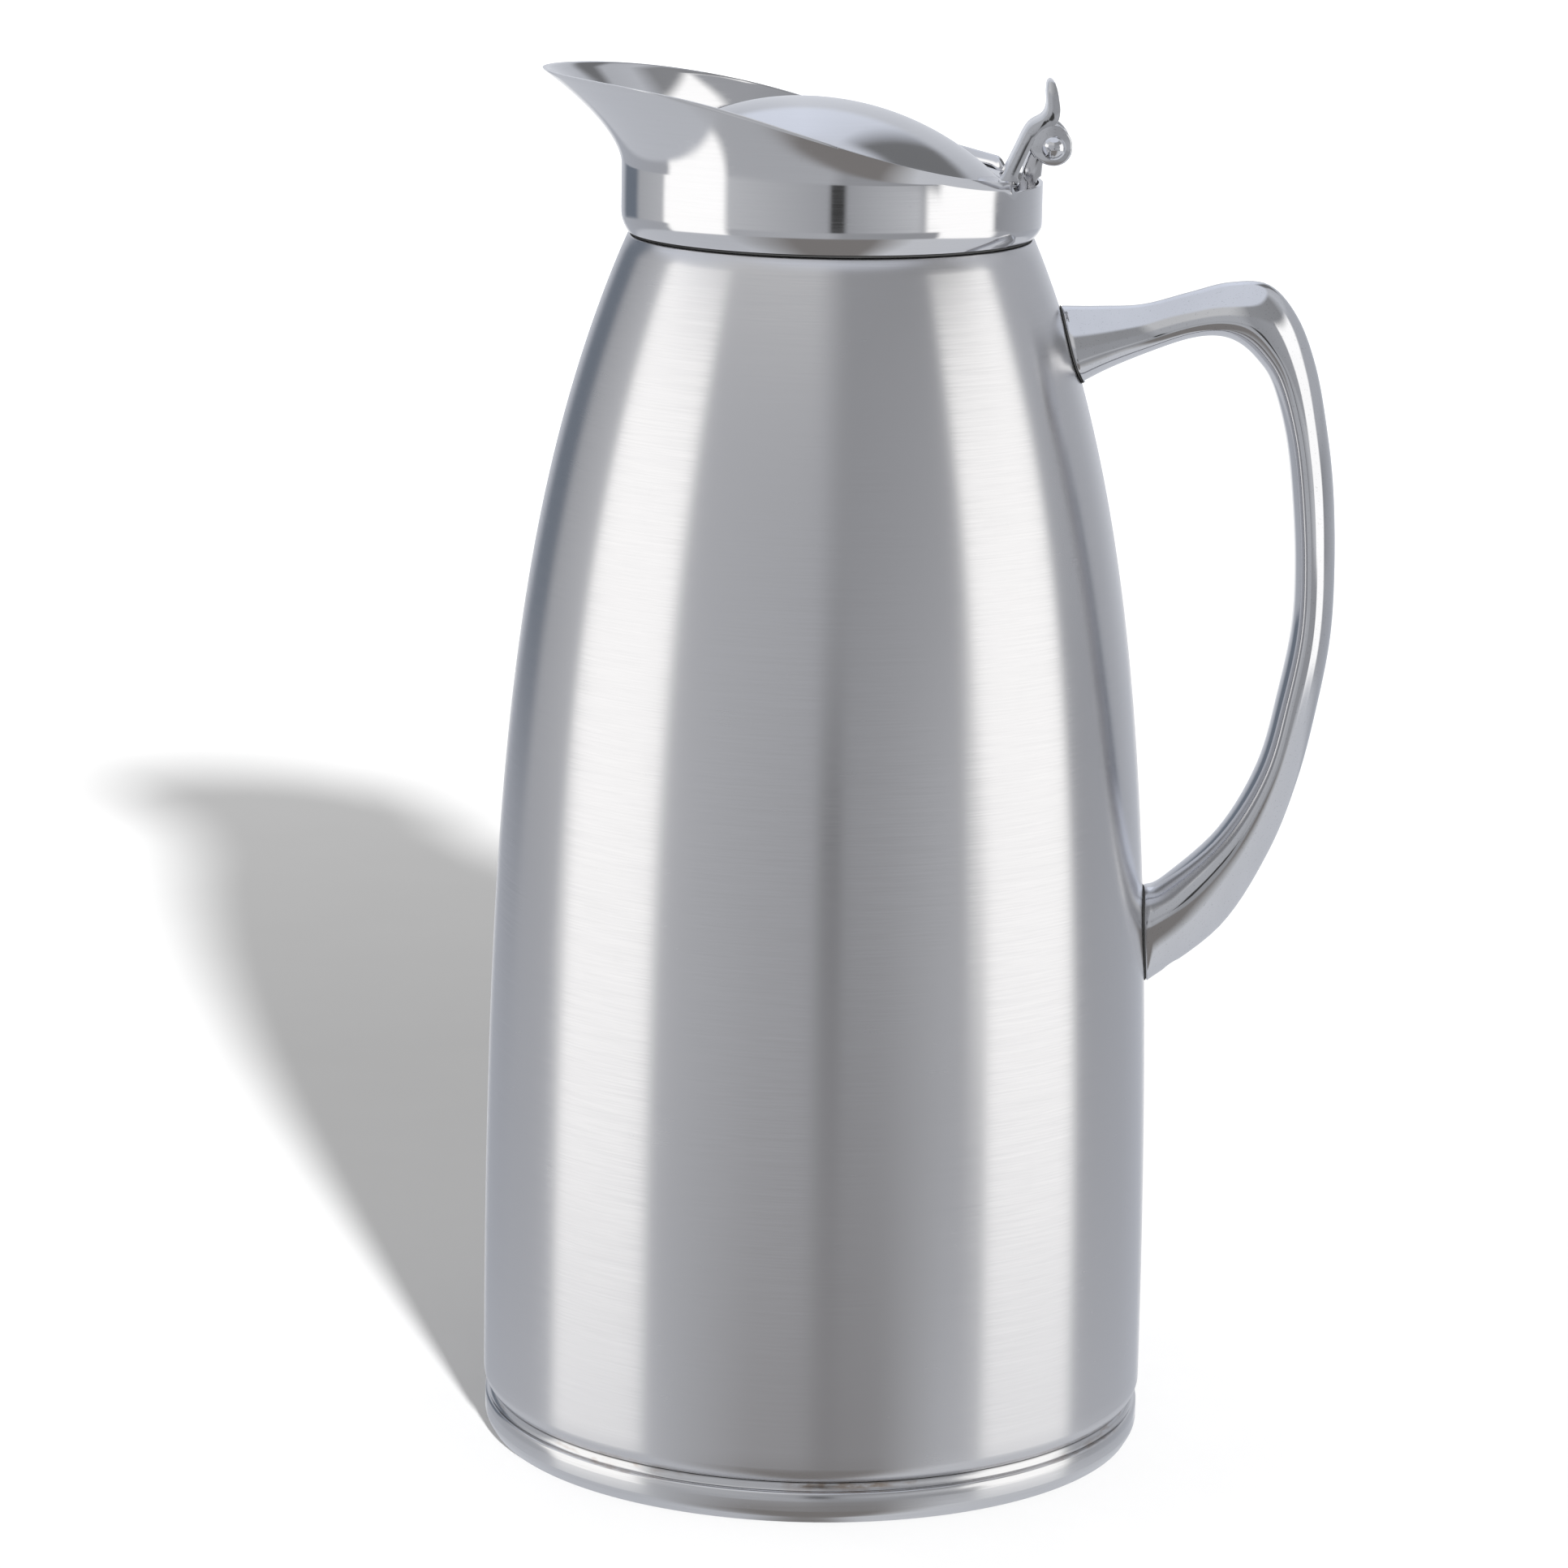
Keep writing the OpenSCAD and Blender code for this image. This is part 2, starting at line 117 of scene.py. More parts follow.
def flow(values: Sequence[Sequence[float]], steps: int) -> list[tuple[float, ...]]:
    """Run a smooth curve through a row of values.

    Args:
        values: The values to pass through, each a few numbers long.
        steps: Steps between neighbouring values.

    Returns:
        The refined row, ends included.
    """
    last = len(values) - 1
    found: list[tuple[float, ...]] = []
    for i in range(last):
        four = [values[max(0, min(last, i + k))] for k in (-1, 0, 1, 2)]
        for step in range(steps):
            found.append(tuple(through(*numbers, step / steps) for numbers in zip(*four)))
    found.append(tuple(values[last]))
    return found


def through(a: float, b: float, c: float, d: float, t: float) -> float:
    """Blend four neighbouring numbers.

    Args:
        a: Number before the span.
        b: Number at the start of the span.
        c: Number at the end of the span.
        d: Number after the span.
        t: Place in the span, 0 to 1.

    Returns:
        The number on the smooth curve at t.
    """
    square = (2 * a - 5 * b + 4 * c - d) * t * t
    cube = (3 * b - a - 3 * c + d) * t * t * t
    return 0.5 * (2 * b + (c - a) * t + square + cube)


# ---------------------------------------------------------------- bench work


def clear_bench() -> None:
    """Leave edit mode and deselect every object, CAD nodes among them."""
    active = bpy.context.view_layer.objects.active
    if active is not None and active.mode != "OBJECT":
        bpy.ops.object.mode_set(mode="OBJECT")
    bpy.ops.object.select_all(action="DESELECT")


def take_up(piece: bpy.types.Object, editing: bool = True) -> None:
    """Select one piece alone.

    Args:
        piece: The piece to work on.
        editing: Whether to open its mesh too.
    """
    clear_bench()
    piece.select_set(True)
    bpy.context.view_layer.objects.active = piece
    if editing:
        bpy.ops.object.mode_set(mode="EDIT")


def name_piece(name: str) -> bpy.types.Object:
    """Name the primitive that was just added, and its mesh.

    Args:
        name: The piece's name.

    Returns:
        The named object.
    """
    piece = bpy.context.object
    piece.name = name
    piece.data.name = name
    return piece


def pick(piece: bpy.types.Object, wanted: Callable[[Vector], bool]) -> None:
    """Select the open mesh's corners by their place.

    Args:
        piece: The piece in edit mode, whose object stands at the origin.
        wanted: Says whether a corner at this place, in metres, is picked.
    """
    mesh = bmesh.from_edit_mesh(piece.data)
    for corner in mesh.verts:
        corner.select_set(wanted(corner.co))
    mesh.select_flush(True)
    bmesh.update_edit_mesh(piece.data)


def settle(piece: bpy.types.Object) -> None:
    """Put the object at the origin, unturned and unscaled, with its place in its mesh.

    Args:
        piece: The piece to settle.
    """
    take_up(piece, editing=False)
    bpy.ops.object.transform_apply(location=True, rotation=True, scale=True)


def trace(name: str, points: Sequence[Vector], closed: bool) -> bpy.types.Object:
    """Draw a line by pulling one corner from point to point.

    Args:
        name: Name of the new piece.
        points: The line's points in metres.
        closed: Whether the last point joins the first.

    Returns:
        The line, in edit mode and at the origin.
    """
    clear_bench()
    bpy.ops.mesh.primitive_plane_add(size=MM, location=points[0])
    line = name_piece(name)
    settle(line)
    take_up(line)
    bpy.ops.mesh.select_all(action="SELECT")
    bpy.ops.mesh.merge(type="CENTER")
    bpy.ops.mesh.select_all(action="SELECT")
    for here, there in zip(points, points[1:]):
        bpy.ops.mesh.extrude_region_move(TRANSFORM_OT_translate={"value": there - here})
    if closed:
        ends = (points[0], points[-1])
        pick(line, lambda place: min((place - end).length for end in ends) < 1e-7)
        bpy.ops.mesh.edge_face_add()
    return line


def close_skin() -> None:
    """Merge doubled corners of the open mesh and turn its faces outwards."""
    bpy.ops.mesh.select_all(action="SELECT")
    bpy.ops.mesh.remove_doubles(threshold=1e-6)
    bpy.ops.mesh.normals_make_consistent(inside=False)


def soften(piece: bpy.types.Object, width: float, limit: float = 35, segments: int = 3) -> None:
    """Round a piece's sharp edges.

    Args:
        piece: The piece to round.
        width: Width of the rounding in millimetres.
        limit: Least angle between two faces of an edge that gets rounded, in degrees.
        segments: Steps across the rounding.
    """
    take_up(piece, editing=False)
    bpy.ops.object.modifier_add(type="BEVEL")
    rounding = piece.modifiers[-1]
    rounding.width = width * MM
    rounding.segments = segments
    rounding.limit_method = "ANGLE"
    rounding.angle_limit = math.radians(limit)
    rounding.use_clamp_overlap = True
    rounding.harden_normals = False
    bpy.ops.object.modifier_apply(modifier=rounding.name)


def copy_across(piece: bpy.types.Object, name: str, distance: float) -> bpy.types.Object:
    """Copy a finished piece with its own mesh, and shift the copy along Y.

    Args:
        piece: The piece to copy.
        name: The copy's name.
        distance: How far the copy moves, in millimetres.

    Returns:
        The copy.
    """
    take_up(piece, editing=False)
    bpy.ops.object.duplicate(linked=False)
    copy = name_piece(name)
    take_up(copy)
    bpy.ops.mesh.select_all(action="SELECT")
    bpy.ops.transform.translate(value=(0, distance * MM, 0))
    return copy


def shade(piece: bpy.types.Object, angle: float = 40) -> None:
    """Shade a piece smooth across its flatter edges.

    Args:
        piece: The piece to shade.
        angle: Angle in degrees from which an edge stays sharp.
    """
    take_up(piece, editing=False)
    bpy.ops.object.shade_smooth_by_angle(angle=math.radians(angle))


@dataclass(frozen=True)
class Axis:
    """A turning axis, with the direction that a profile's radius is measured along."""

    centre: tuple[float, float, float] = (0, 0, 0)
    up: tuple[float, float, float] = (0, 0, 1)
    out: tuple[float, float, float] = (1, 0, 0)

    def place(self, across: float, height: float) -> Vector:
        """Give the place in metres of a profile point in millimetres."""
        return (Vector(self.centre) + Vector(self.out) * across + Vector(self.up) * height) * MM


UPRIGHT = Axis()


@dataclass(frozen=True)
class Turned:
    """A piece turned on a lathe."""

    name: str
    profile: Sequence[Point]
    axis: Axis = UPRIGHT
    closed: bool = True
    steps: int = 256
    rounding: float = 0.0

    def build(self) -> bpy.types.Object:
        """Trace the profile and spin it about the axis.

        Returns:
            The turned piece.
        """
        points = [self.axis.place(*p) for p in self.profile]
        piece = trace(self.name, points, self.closed)
        bpy.ops.mesh.select_all(action="SELECT")
        centre = Vector(self.axis.centre) * MM
        bpy.ops.mesh.spin(steps=self.steps, angle=math.tau, center=centre, axis=self.axis.up)
        close_skin()
        if self.rounding:
            soften(piece, self.rounding)
        shade(piece)
        return piece


@dataclass(frozen=True)
class Plate:
    """A piece cut from an outline in the XZ plane and pulled across the hinge."""

    name: str
    outline: Sequence[Point]
    near: float
    far: float
    rounding: float = 0.3

    def build(self) -> bpy.types.Object:
        """Trace the outline, fill it, pull it out and round its edges.

        Returns:
            The finished plate.
        """
        points = [Vector((x, self.near, z)) * MM for x, z in self.outline]
        piece = trace(self.name, points, closed=True)
        bpy.ops.mesh.select_all(action="SELECT")
        bpy.ops.mesh.edge_face_add()
        bpy.ops.mesh.extrude_region_move(
            TRANSFORM_OT_translate={"value": (0, (self.far - self.near) * MM, 0)}
        )
        close_skin()
        soften(piece, self.rounding, limit=CRISP_ANGLE)
        shade(piece, CRISP_ANGLE)
        return piece


def loft(name: str, rings: Sequence[Sequence[Vector]], closed: bool = False) -> bpy.types.Object:
    """Pull a circle from ring to ring, setting each new ring's corners.

    Args:
        name: Name of the new piece.
        rings: Rings of places in metres, all with the same count.
        closed: Whether the last ring lies on the first; otherwise both ends are filled.

    Returns:
        The closed skin.
    """
    clear_bench()
    bpy.ops.mesh.primitive_circle_add(vertices=len(rings[0]), radius=10 * MM)
    piece = name_piece(name)
    take_up(piece)
    mesh = bmesh.from_edit_mesh(piece.data)
    number = mesh.verts.layers.int.new("number")
    for i, corner in enumerate(mesh.verts):
        corner[number] = i
        corner.co = rings[0][i]
    bmesh.update_edit_mesh(piece.data)
    bpy.ops.mesh.select_all(action="SELECT")
    for ring in rings[1:]:
        bpy.ops.mesh.extrude_region_move(TRANSFORM_OT_translate={"value": (0, 0, MM)})
        mesh = bmesh.from_edit_mesh(piece.data)
        number = mesh.verts.layers.int["number"]
        for corner in mesh.verts:
            if corner.select:
                corner.co = ring[corner[number]]
        bmesh.update_edit_mesh(piece.data)
    close_skin()
    if not closed:
        bpy.ops.mesh.select_all(action="SELECT")
        bpy.ops.mesh.fill_holes(sides=0)
        close_skin()
    return piece


# ---------------------------------------------------------------- node work


class Wiring:
    """A node tree with short ways to add and join nodes."""

    def __init__(self, tree: bpy.types.NodeTree) -> None:
        """Take up a tree.

        Args:
            tree: The tree to work in.
        """
        self.tree = tree

    def add(self, kind: str, sockets: dict | None = None, **settings: object) -> bpy.types.Node:
        """Add a node.

        Args:
            kind: The node's type name.
            sockets: Values or linked outputs, by input name or number.
            **settings: The node's own properties.

        Returns:
            The new node.
        """
        node = self.tree.nodes.new(kind)
        for key, value in settings.items():
            setattr(node, key, value)
        for key, value in (sockets or {}).items():
            if isinstance(value, bpy.types.NodeSocket):
                self.tree.links.new(value, node.inputs[key])
            else:
                node.inputs[key].default_value = value
        return node

    def math(self, operation: str, *values: object, clamp: bool = False) -> bpy.types.NodeSocket:
        """Add a Math node.

        Args:
            operation: The node's operation.
            *values: Numbers or outputs, in the node's order.
            clamp: Whether to keep the result between 0 and 1.

        Returns:
            The node's output.
        """
        node = self.add("ShaderNodeMath", dict(enumerate(values)), operation=operation)
        node.use_clamp = clamp
        return node.outputs[0]

    def step(self, value: object, low: float, high: float, smooth: bool = True) -> bpy.types.NodeSocket:
        """Turn a value into a 0 to 1 mask between two limits.

        Args:
            value: The output to read.
            low: Value that gives 0.
            high: Value that gives 1.
            smooth: Whether the ends are eased.

        Returns:
            The mask's output.
        """
        kind = "SMOOTHSTEP" if smooth else "LINEAR"
        limits = {"Value": value, "From Min": low, "From Max": high}
        return self.add("ShaderNodeMapRange", limits, interpolation_type=kind).outputs[0]

    def mix(self, factor: object, first: object, second: object) -> bpy.types.NodeSocket:
        """Mix two colours.

        Args:
            factor: Share of the second colour, a number or an output.
            first: First colour or output.
            second: Second colour or output.

        Returns:
            The mixed colour's output.
        """
        node = self.add("ShaderNodeMix", {0: factor, 6: first, 7: second}, data_type="RGBA")
        return node.outputs[2]

    def noise(self, vector: object, scale: float, detail: float, rough: float = 0.5) -> bpy.types.NodeSocket:
        """Add a Noise texture.

        Args:
            vector: Output with the place to read at.
            scale: Cells in a unit of that place.
            detail: How many finer layers are added.
            rough: Strength of the finer layers.

        Returns:
            The noise's value, 0 to 1.
        """
        values = {"Vector": vector, "Scale": scale, "Detail": detail, "Roughness": rough}
        return self.add("ShaderNodeTexNoise", values).outputs["Fac"]

    def stretched(self, scale: object) -> bpy.types.NodeSocket:
        """Stretch object coordinates.

        Args:
            scale: Vector, or output, that they are multiplied by.

        Returns:
            The stretched place.
        """
        place = self.add("ShaderNodeTexCoord").outputs["Object"]
        node = self.add("ShaderNodeVectorMath", {0: place, 1: scale}, operation="MULTIPLY")
        return node.outputs[0]


def rgba(colour: Colour) -> tuple[float, float, float, float]:
    """Give a colour with full alpha."""
    return (*colour, 1.0)


class Effect(Enum):
    """Shared surface effects, each one node group."""

    GRAIN = "grain"
    SMUDGES = "smudges"
    EDGE_WEAR = "edge_wear_and_crease_shade"
    SCRATCHES = "scratches"
    SPECKS = "specks"
    DEPOSIT = "deposit"
    CAST_SKIN = "cast_skin"


class EffectShelf:
    """Makes each shared effect once and places it in materials."""

    def __init__(self) -> None:
        """Start with an empty shelf."""
        self.made: dict[Effect, bpy.types.NodeTree] = {}

    def group(self, effect: Effect) -> bpy.types.NodeTree:
        """Give an effect's node group, made on first use.

        Args:
            effect: Which effect.

        Returns:
            The group's tree.
        """
        if effect not in self.made:
            makers = {
                Effect.GRAIN: self.make_grain,
                Effect.SMUDGES: self.make_smudges,
                Effect.EDGE_WEAR: self.make_edge_wear_and_crease_shade,
                Effect.SCRATCHES: self.make_scratches,
                Effect.SPECKS: self.make_specks,
                Effect.DEPOSIT: self.make_deposit,
                Effect.CAST_SKIN: self.make_cast_skin,
            }
            self.made[effect] = makers[effect]()
        return self.made[effect]

    def place(self, wiring: Wiring, effect: Effect, **values: object) -> bpy.types.Node:
        """Put an effect in a material.

        Args:
            wiring: The material's wiring.
            effect: Which effect.
            **values: Its inputs, by name.

        Returns:
            The group node.
        """
        node = wiring.add("ShaderNodeGroup", node_tree=self.group(effect))
        for key, value in values.items():
            node.inputs[key].default_value = value
        return node

    def blank(self, name: str, inputs: dict[str, object], outputs: Sequence[str]) -> tuple[Wiring, dict]:
        """Start a group with its sockets.

        Args:
            name: The group's name.
            inputs: Default values by input name; a 3-tuple makes a vector.
            outputs: Names of the value outputs.

        Returns:
            The wiring, and the input sockets by name.
        """
        tree = bpy.data.node_groups.new(name, "ShaderNodeTree")
        for key, value in inputs.items():
            kind = "NodeSocketVector" if isinstance(value, tuple) else "NodeSocketFloat"
            socket = tree.interface.new_socket(name=key, in_out="INPUT", socket_type=kind)
            socket.default_value = value
        for key in outputs:
            tree.interface.new_socket(name=key, in_out="OUTPUT", socket_type="NodeSocketFloat")
        wiring = Wiring(tree)
        entry = wiring.add("NodeGroupInput")
        return wiring, {key: entry.outputs[key] for key in inputs}

    def finish(self, wiring: Wiring, outputs: dict[str, object]) -> bpy.types.NodeTree:
        """Join a group's outputs.

        Args:
            wiring: The group's wiring.
            outputs: Output sockets by name.

        Returns:
            The finished tree.
        """
        wiring.add("NodeGroupOutput", outputs)
        return wiring.tree

    def make_grain(self) -> bpy.types.NodeTree:
        """Make straight brushing lines: fine lines, with broader bands among them.

        Returns:
            The group's tree.
        """
        wiring, entry = self.blank("brushing_grain", {"Lines": (60.0, 60.0, 4000.0)}, ["Fine", "Bands"])
        place = wiring.stretched(entry["Lines"])
        fine = wiring.noise(place, 1.0, 3.0, 0.7)
        bands = wiring.noise(place, 0.16, 2.0, 0.6)
        return self.finish(
            wiring, {"Fine": wiring.step(fine, 0.3, 0.7, False), "Bands": wiring.step(bands, 0.3, 0.7)}
        )

    def make_smudges(self) -> bpy.types.NodeTree:
        """Make soft handling marks with a few clearer prints.

        Returns:
            The group's tree.
        """
        wiring, entry = self.blank("smudges", {"Spread": (22.0, 22.0, 16.0)}, ["Haze", "Prints"])
        place = wiring.stretched(entry["Spread"])
        haze = wiring.noise(place, 1.0, 4.0, 0.6)
        prints = wiring.noise(place, 3.6, 5.0, 0.7)
        return self.finish(
            wiring, {"Haze": wiring.step(haze, 0.35, 0.7), "Prints": wiring.step(prints, 0.56, 0.7)}
        )

    def make_edge_wear_and_crease_shade(self) -> bpy.types.NodeTree:
        """Make a broken mask of worn outer edges, and a mask of creases where the finishes paint shade.

        Returns:
            The group's tree.
        """
        wiring, entry = self.blank("edge_wear_and_crease_shade", {"Breakup": (900.0, 900.0, 900.0)}, ["Edge", "Crease"])
        sharp = wiring.add("ShaderNodeNewGeometry").outputs["Pointiness"]
        broken = wiring.step(wiring.noise(wiring.stretched(entry["Breakup"]), 1.0, 3.0), 0.35, 0.65)
        edge = wiring.math("MULTIPLY", wiring.step(sharp, 0.52, 0.6), broken)
        # Painted shade mask: concave places, where the finishes darken their colour for the shade that falls
        # in creases.
        crease_shade = wiring.step(sharp, 0.49, 0.4)
        return self.finish(wiring, {"Edge": edge, "Crease": crease_shade})

    def make_scratches(self) -> bpy.types.NodeTree:
        """Make sparse hairline scratches in two directions.

        Returns:
            The group's tree.
        """
        wiring, entry = self.blank("hairlines", {"Density": 1.0}, ["Lines"])
        found = []
        for turn, scale in ((0.5, (40.0, 900.0, 900.0)), (-0.9, (700.0, 30.0, 700.0))):
            place = wiring.add("ShaderNodeTexCoord").outputs["Object"]
            turned = wiring.add(
                "ShaderNodeMapping", {"Vector": place, "Rotation": (turn, turn, turn), "Scale": scale}
            )
            value = wiring.noise(turned.outputs[0], 1.0, 1.0)
            found.append(wiring.step(value, 0.7, 0.76))
        both = wiring.math("MAXIMUM", *found)
        return self.finish(wiring, {"Lines": wiring.math("MULTIPLY", both, entry["Density"], clamp=True)})

    def make_specks(self) -> bpy.types.NodeTree:
        """Make rare small specks of dust and dried drops.

        Returns:
            The group's tree.
        """
        wiring, entry = self.blank("specks", {"Spread": (260.0, 260.0, 260.0), "Size": 0.1}, ["Specks"])
        place = wiring.stretched(entry["Spread"])
        cells = wiring.add("ShaderNodeTexVoronoi", {"Vector": place, "Scale": 1.0})
        near = wiring.math("LESS_THAN", cells.outputs["Distance"], entry["Size"])
        chosen = wiring.math("GREATER_THAN", wiring.noise(place, 0.06, 1.0), 0.6)
        return self.finish(wiring, {"Specks": wiring.math("MULTIPLY", near, chosen)})

    def make_deposit(self) -> bpy.types.NodeTree:
        """Make a blotchy deposit between two heights.

        Returns:
            The group's tree.
        """
        wiring, entry = self.blank("deposit", {"Low": 0.006, "High": 0.008, "Soft": 0.0004}, ["Stain"])
        place = wiring.add("ShaderNodeTexCoord").outputs["Object"]
        height = wiring.add("ShaderNodeSeparateXYZ", {0: place}).outputs["Z"]
        over = wiring.math("SUBTRACT", height, entry["Low"])
        under = wiring.math("SUBTRACT", entry["High"], height)
        inside = wiring.math("DIVIDE", wiring.math("MINIMUM", over, under), entry["Soft"], clamp=True)
        broad = wiring.step(wiring.noise(wiring.stretched((28.0, 28.0, 200.0)), 1.0, 3.0), 0.5, 0.66)
        small = wiring.step(wiring.noise(wiring.stretched((300.0, 300.0, 900.0)), 1.0, 4.0), 0.4, 0.7)
        blotch = wiring.math("MULTIPLY", broad, small)
        return self.finish(wiring, {"Stain": wiring.math("MULTIPLY", inside, blotch)})

    def make_cast_skin(self) -> bpy.types.NodeTree:
        """Make the slow ripple that polishing leaves on a casting, and its fine pores.

        Returns:
            The group's tree.
        """
        wiring, entry = self.blank("cast_skin", {"Ripple": 130.0, "Pore": 2600.0}, ["Ripple", "Pores"])
        place = wiring.add("ShaderNodeTexCoord").outputs["Object"]
        ripple = wiring.add("ShaderNodeTexNoise", {"Vector": place, "Scale": entry["Ripple"], "Detail": 1.0})
        pores = wiring.add("ShaderNodeTexNoise", {"Vector": place, "Scale": entry["Pore"], "Detail": 2.0})
        return self.finish(
            wiring, {"Ripple": ripple.outputs["Fac"], "Pores": wiring.step(pores.outputs["Fac"], 0.62, 0.72)}
        )


SHELF = EffectShelf()


# ---------------------------------------------------------------- finishes


@dataclass(frozen=True)
class Finish:
    """What every finish has: a name and a colour."""

    name: str
    colour: Colour

    def start(self) -> tuple[bpy.types.Material, Wiring, bpy.types.Node]:
        """Make the material with its shader.

        Returns:
            The material, its wiring and its shader node.
        """
        material = bpy.data.materials.new(self.name)
        material.use_nodes = True
        material.node_tree.nodes.clear()
        wiring = Wiring(material.node_tree)
        shader = wiring.add("ShaderNodeBsdfPrincipled")
        wiring.add("ShaderNodeOutputMaterial", {"Surface": shader.outputs[0]})
        return material, wiring, shader

    def tinted(self, share: float) -> tuple[float, float, float, float]:
        """Give the finish's colour made darker, or lighter, by a share."""
        return rgba(tuple(min(BRIGHTEST, c * share) for c in self.colour))

    def bump(self, wiring: Wiring, shader: bpy.types.Node, height: object, depth: float) -> None:
        """Feed a height to the shader's normal.

        Args:
            wiring: The material's wiring.
            shader: The shader node.
            height: The height's output.
            depth: Depth in millimetres.
        """
        values = {"Height": height, "Distance": depth * MM, "Strength": 1.0}
        node = wiring.add("ShaderNodeBump", values)
        wiring.tree.links.new(node.outputs[0], shader.inputs["Normal"])

    def material(self) -> bpy.types.Material:
        """Give the material, made on first use."""
        return bpy.data.materials.get(self.name) or self.make()

    def make(self) -> bpy.types.Material:
        """Make the material."""
        raise NotImplementedError


@dataclass(frozen=True)
class SteelFinish(Finish):
    """Stainless steel or another bare metal, brushed or polished."""

    roughness: float = 0.3
    grain: tuple[float, float, float] = (60.0, 60.0, 4000.0)
    grain_rough: float = 0.1
    grain_depth: float = 0.0
    grain_tone: float = 0.04
    haze: float = 0.04
    directional: float = 0.0
    turn: float = 0.25
    smear: float = 0.12
    edge: float = 0.7
    dust: float = 0.3
    dust_tone: Colour = (0.8, 0.8, 0.79)
    hairs: float = 0.6
    hair_rough: float = 0.05
    hair_depth: float = 0.3
    # Painted shade in creases: how much, and how dark.
    crease_shade: float = 0.55
    dark: float = 0.4
    # The groove settings below paint a band of shade at one height, the recess where the ring meets the
    # shell.
    groove: float = 0.0
    groove_fade: float = 0.3
    groove_shade: float = 0.85
    groove_shade_tone: Colour = (0.07, 0.068, 0.068)
    stain: float = 0.75
    stain_low: float = 0.0
    stain_high: float = 0.0
    warm: Colour = (0.4, 0.3, 0.22)

    def make(self) -> bpy.types.Material:
        """Wire grain, handling marks, worn edges, deposit and painted shade (in creases and in a groove
        band) into a metal.

        Returns:
            The material.
        """
        material, wiring, shader = self.start()
        shader.inputs["Metallic"].default_value = 1.0
        shader.inputs["Anisotropic"].default_value = self.directional
        shader.inputs["Anisotropic Rotation"].default_value = self.turn
        grain = SHELF.place(wiring, Effect.GRAIN, Lines=self.grain)
        smudge = SHELF.place(wiring, Effect.SMUDGES)
        wear_and_crease_shade = SHELF.place(wiring, Effect.EDGE_WEAR)
        hairs = SHELF.place(wiring, Effect.SCRATCHES, Density=self.hairs)
        specks = SHELF.place(wiring, Effect.SPECKS)
        deep = self.tinted(1 - self.grain_tone)
        tone = wiring.mix(grain.outputs["Fine"], rgba(self.colour), deep)
        banded = wiring.math("MULTIPLY", grain.outputs["Bands"], self.grain_tone * 4)
        tone = wiring.mix(banded, tone, deep)
        hazed = wiring.math("MULTIPLY", smudge.outputs["Haze"], self.smear)
        tone = wiring.mix(hazed, tone, self.tinted(1 - self.smear))
        rubbed = wiring.math("MULTIPLY", wear_and_crease_shade.outputs["Edge"], self.edge)
        tone = wiring.mix(rubbed, tone, self.tinted(1 + self.smear))
        # Painted shade: creases are darkened.
        shaded_creases = wiring.math("MULTIPLY", wear_and_crease_shade.outputs["Crease"], self.crease_shade)
        tone = wiring.mix(shaded_creases, tone, self.tinted(self.dark))
        dusted = wiring.math("MULTIPLY", specks.outputs[0], self.dust)
        tone = wiring.mix(dusted, tone, rgba(self.dust_tone))
        if self.stain_high > self.stain_low:
            low, high = self.stain_low * MM, self.stain_high * MM
            stain = SHELF.place(wiring, Effect.DEPOSIT, Low=low, High=high)
            stained = wiring.math("MULTIPLY", stain.outputs[0], self.stain)
            tone = wiring.mix(stained, tone, rgba(self.warm))
        # Painted shade: the band round the groove height is darkened, for the shade in the recess under the
        # shell.
        if self.groove:
            place = wiring.add("ShaderNodeTexCoord").outputs["Object"]
            height = wiring.add("ShaderNodeSeparateXYZ", {0: place}).outputs["Z"]
            low, high = self.groove - self.groove_fade, self.groove + self.groove_fade
            shaded_groove = wiring.math("MULTIPLY", wiring.step(height, low * MM, high * MM), self.groove_shade)
            tone = wiring.mix(shaded_groove, tone, rgba(self.groove_shade_tone))
        wiring.tree.links.new(tone, shader.inputs["Base Color"])
        lines = wiring.math("MULTIPLY_ADD", grain.outputs["Fine"], self.grain_rough, self.roughness)
        marks = wiring.math("MULTIPLY_ADD", smudge.outputs["Prints"], self.haze, lines)
        scored = wiring.math("MULTIPLY_ADD", hairs.outputs[0], self.hair_rough, marks)
        dusty = wiring.math("MULTIPLY_ADD", specks.outputs[0], self.dust * 0.5, scored)
        wiring.tree.links.new(dusty, shader.inputs["Roughness"])
        cut = wiring.math("MULTIPLY_ADD", hairs.outputs[0], -self.hair_depth, grain.outputs["Bands"])
        self.bump(wiring, shader, cut, self.grain_depth)
        return material


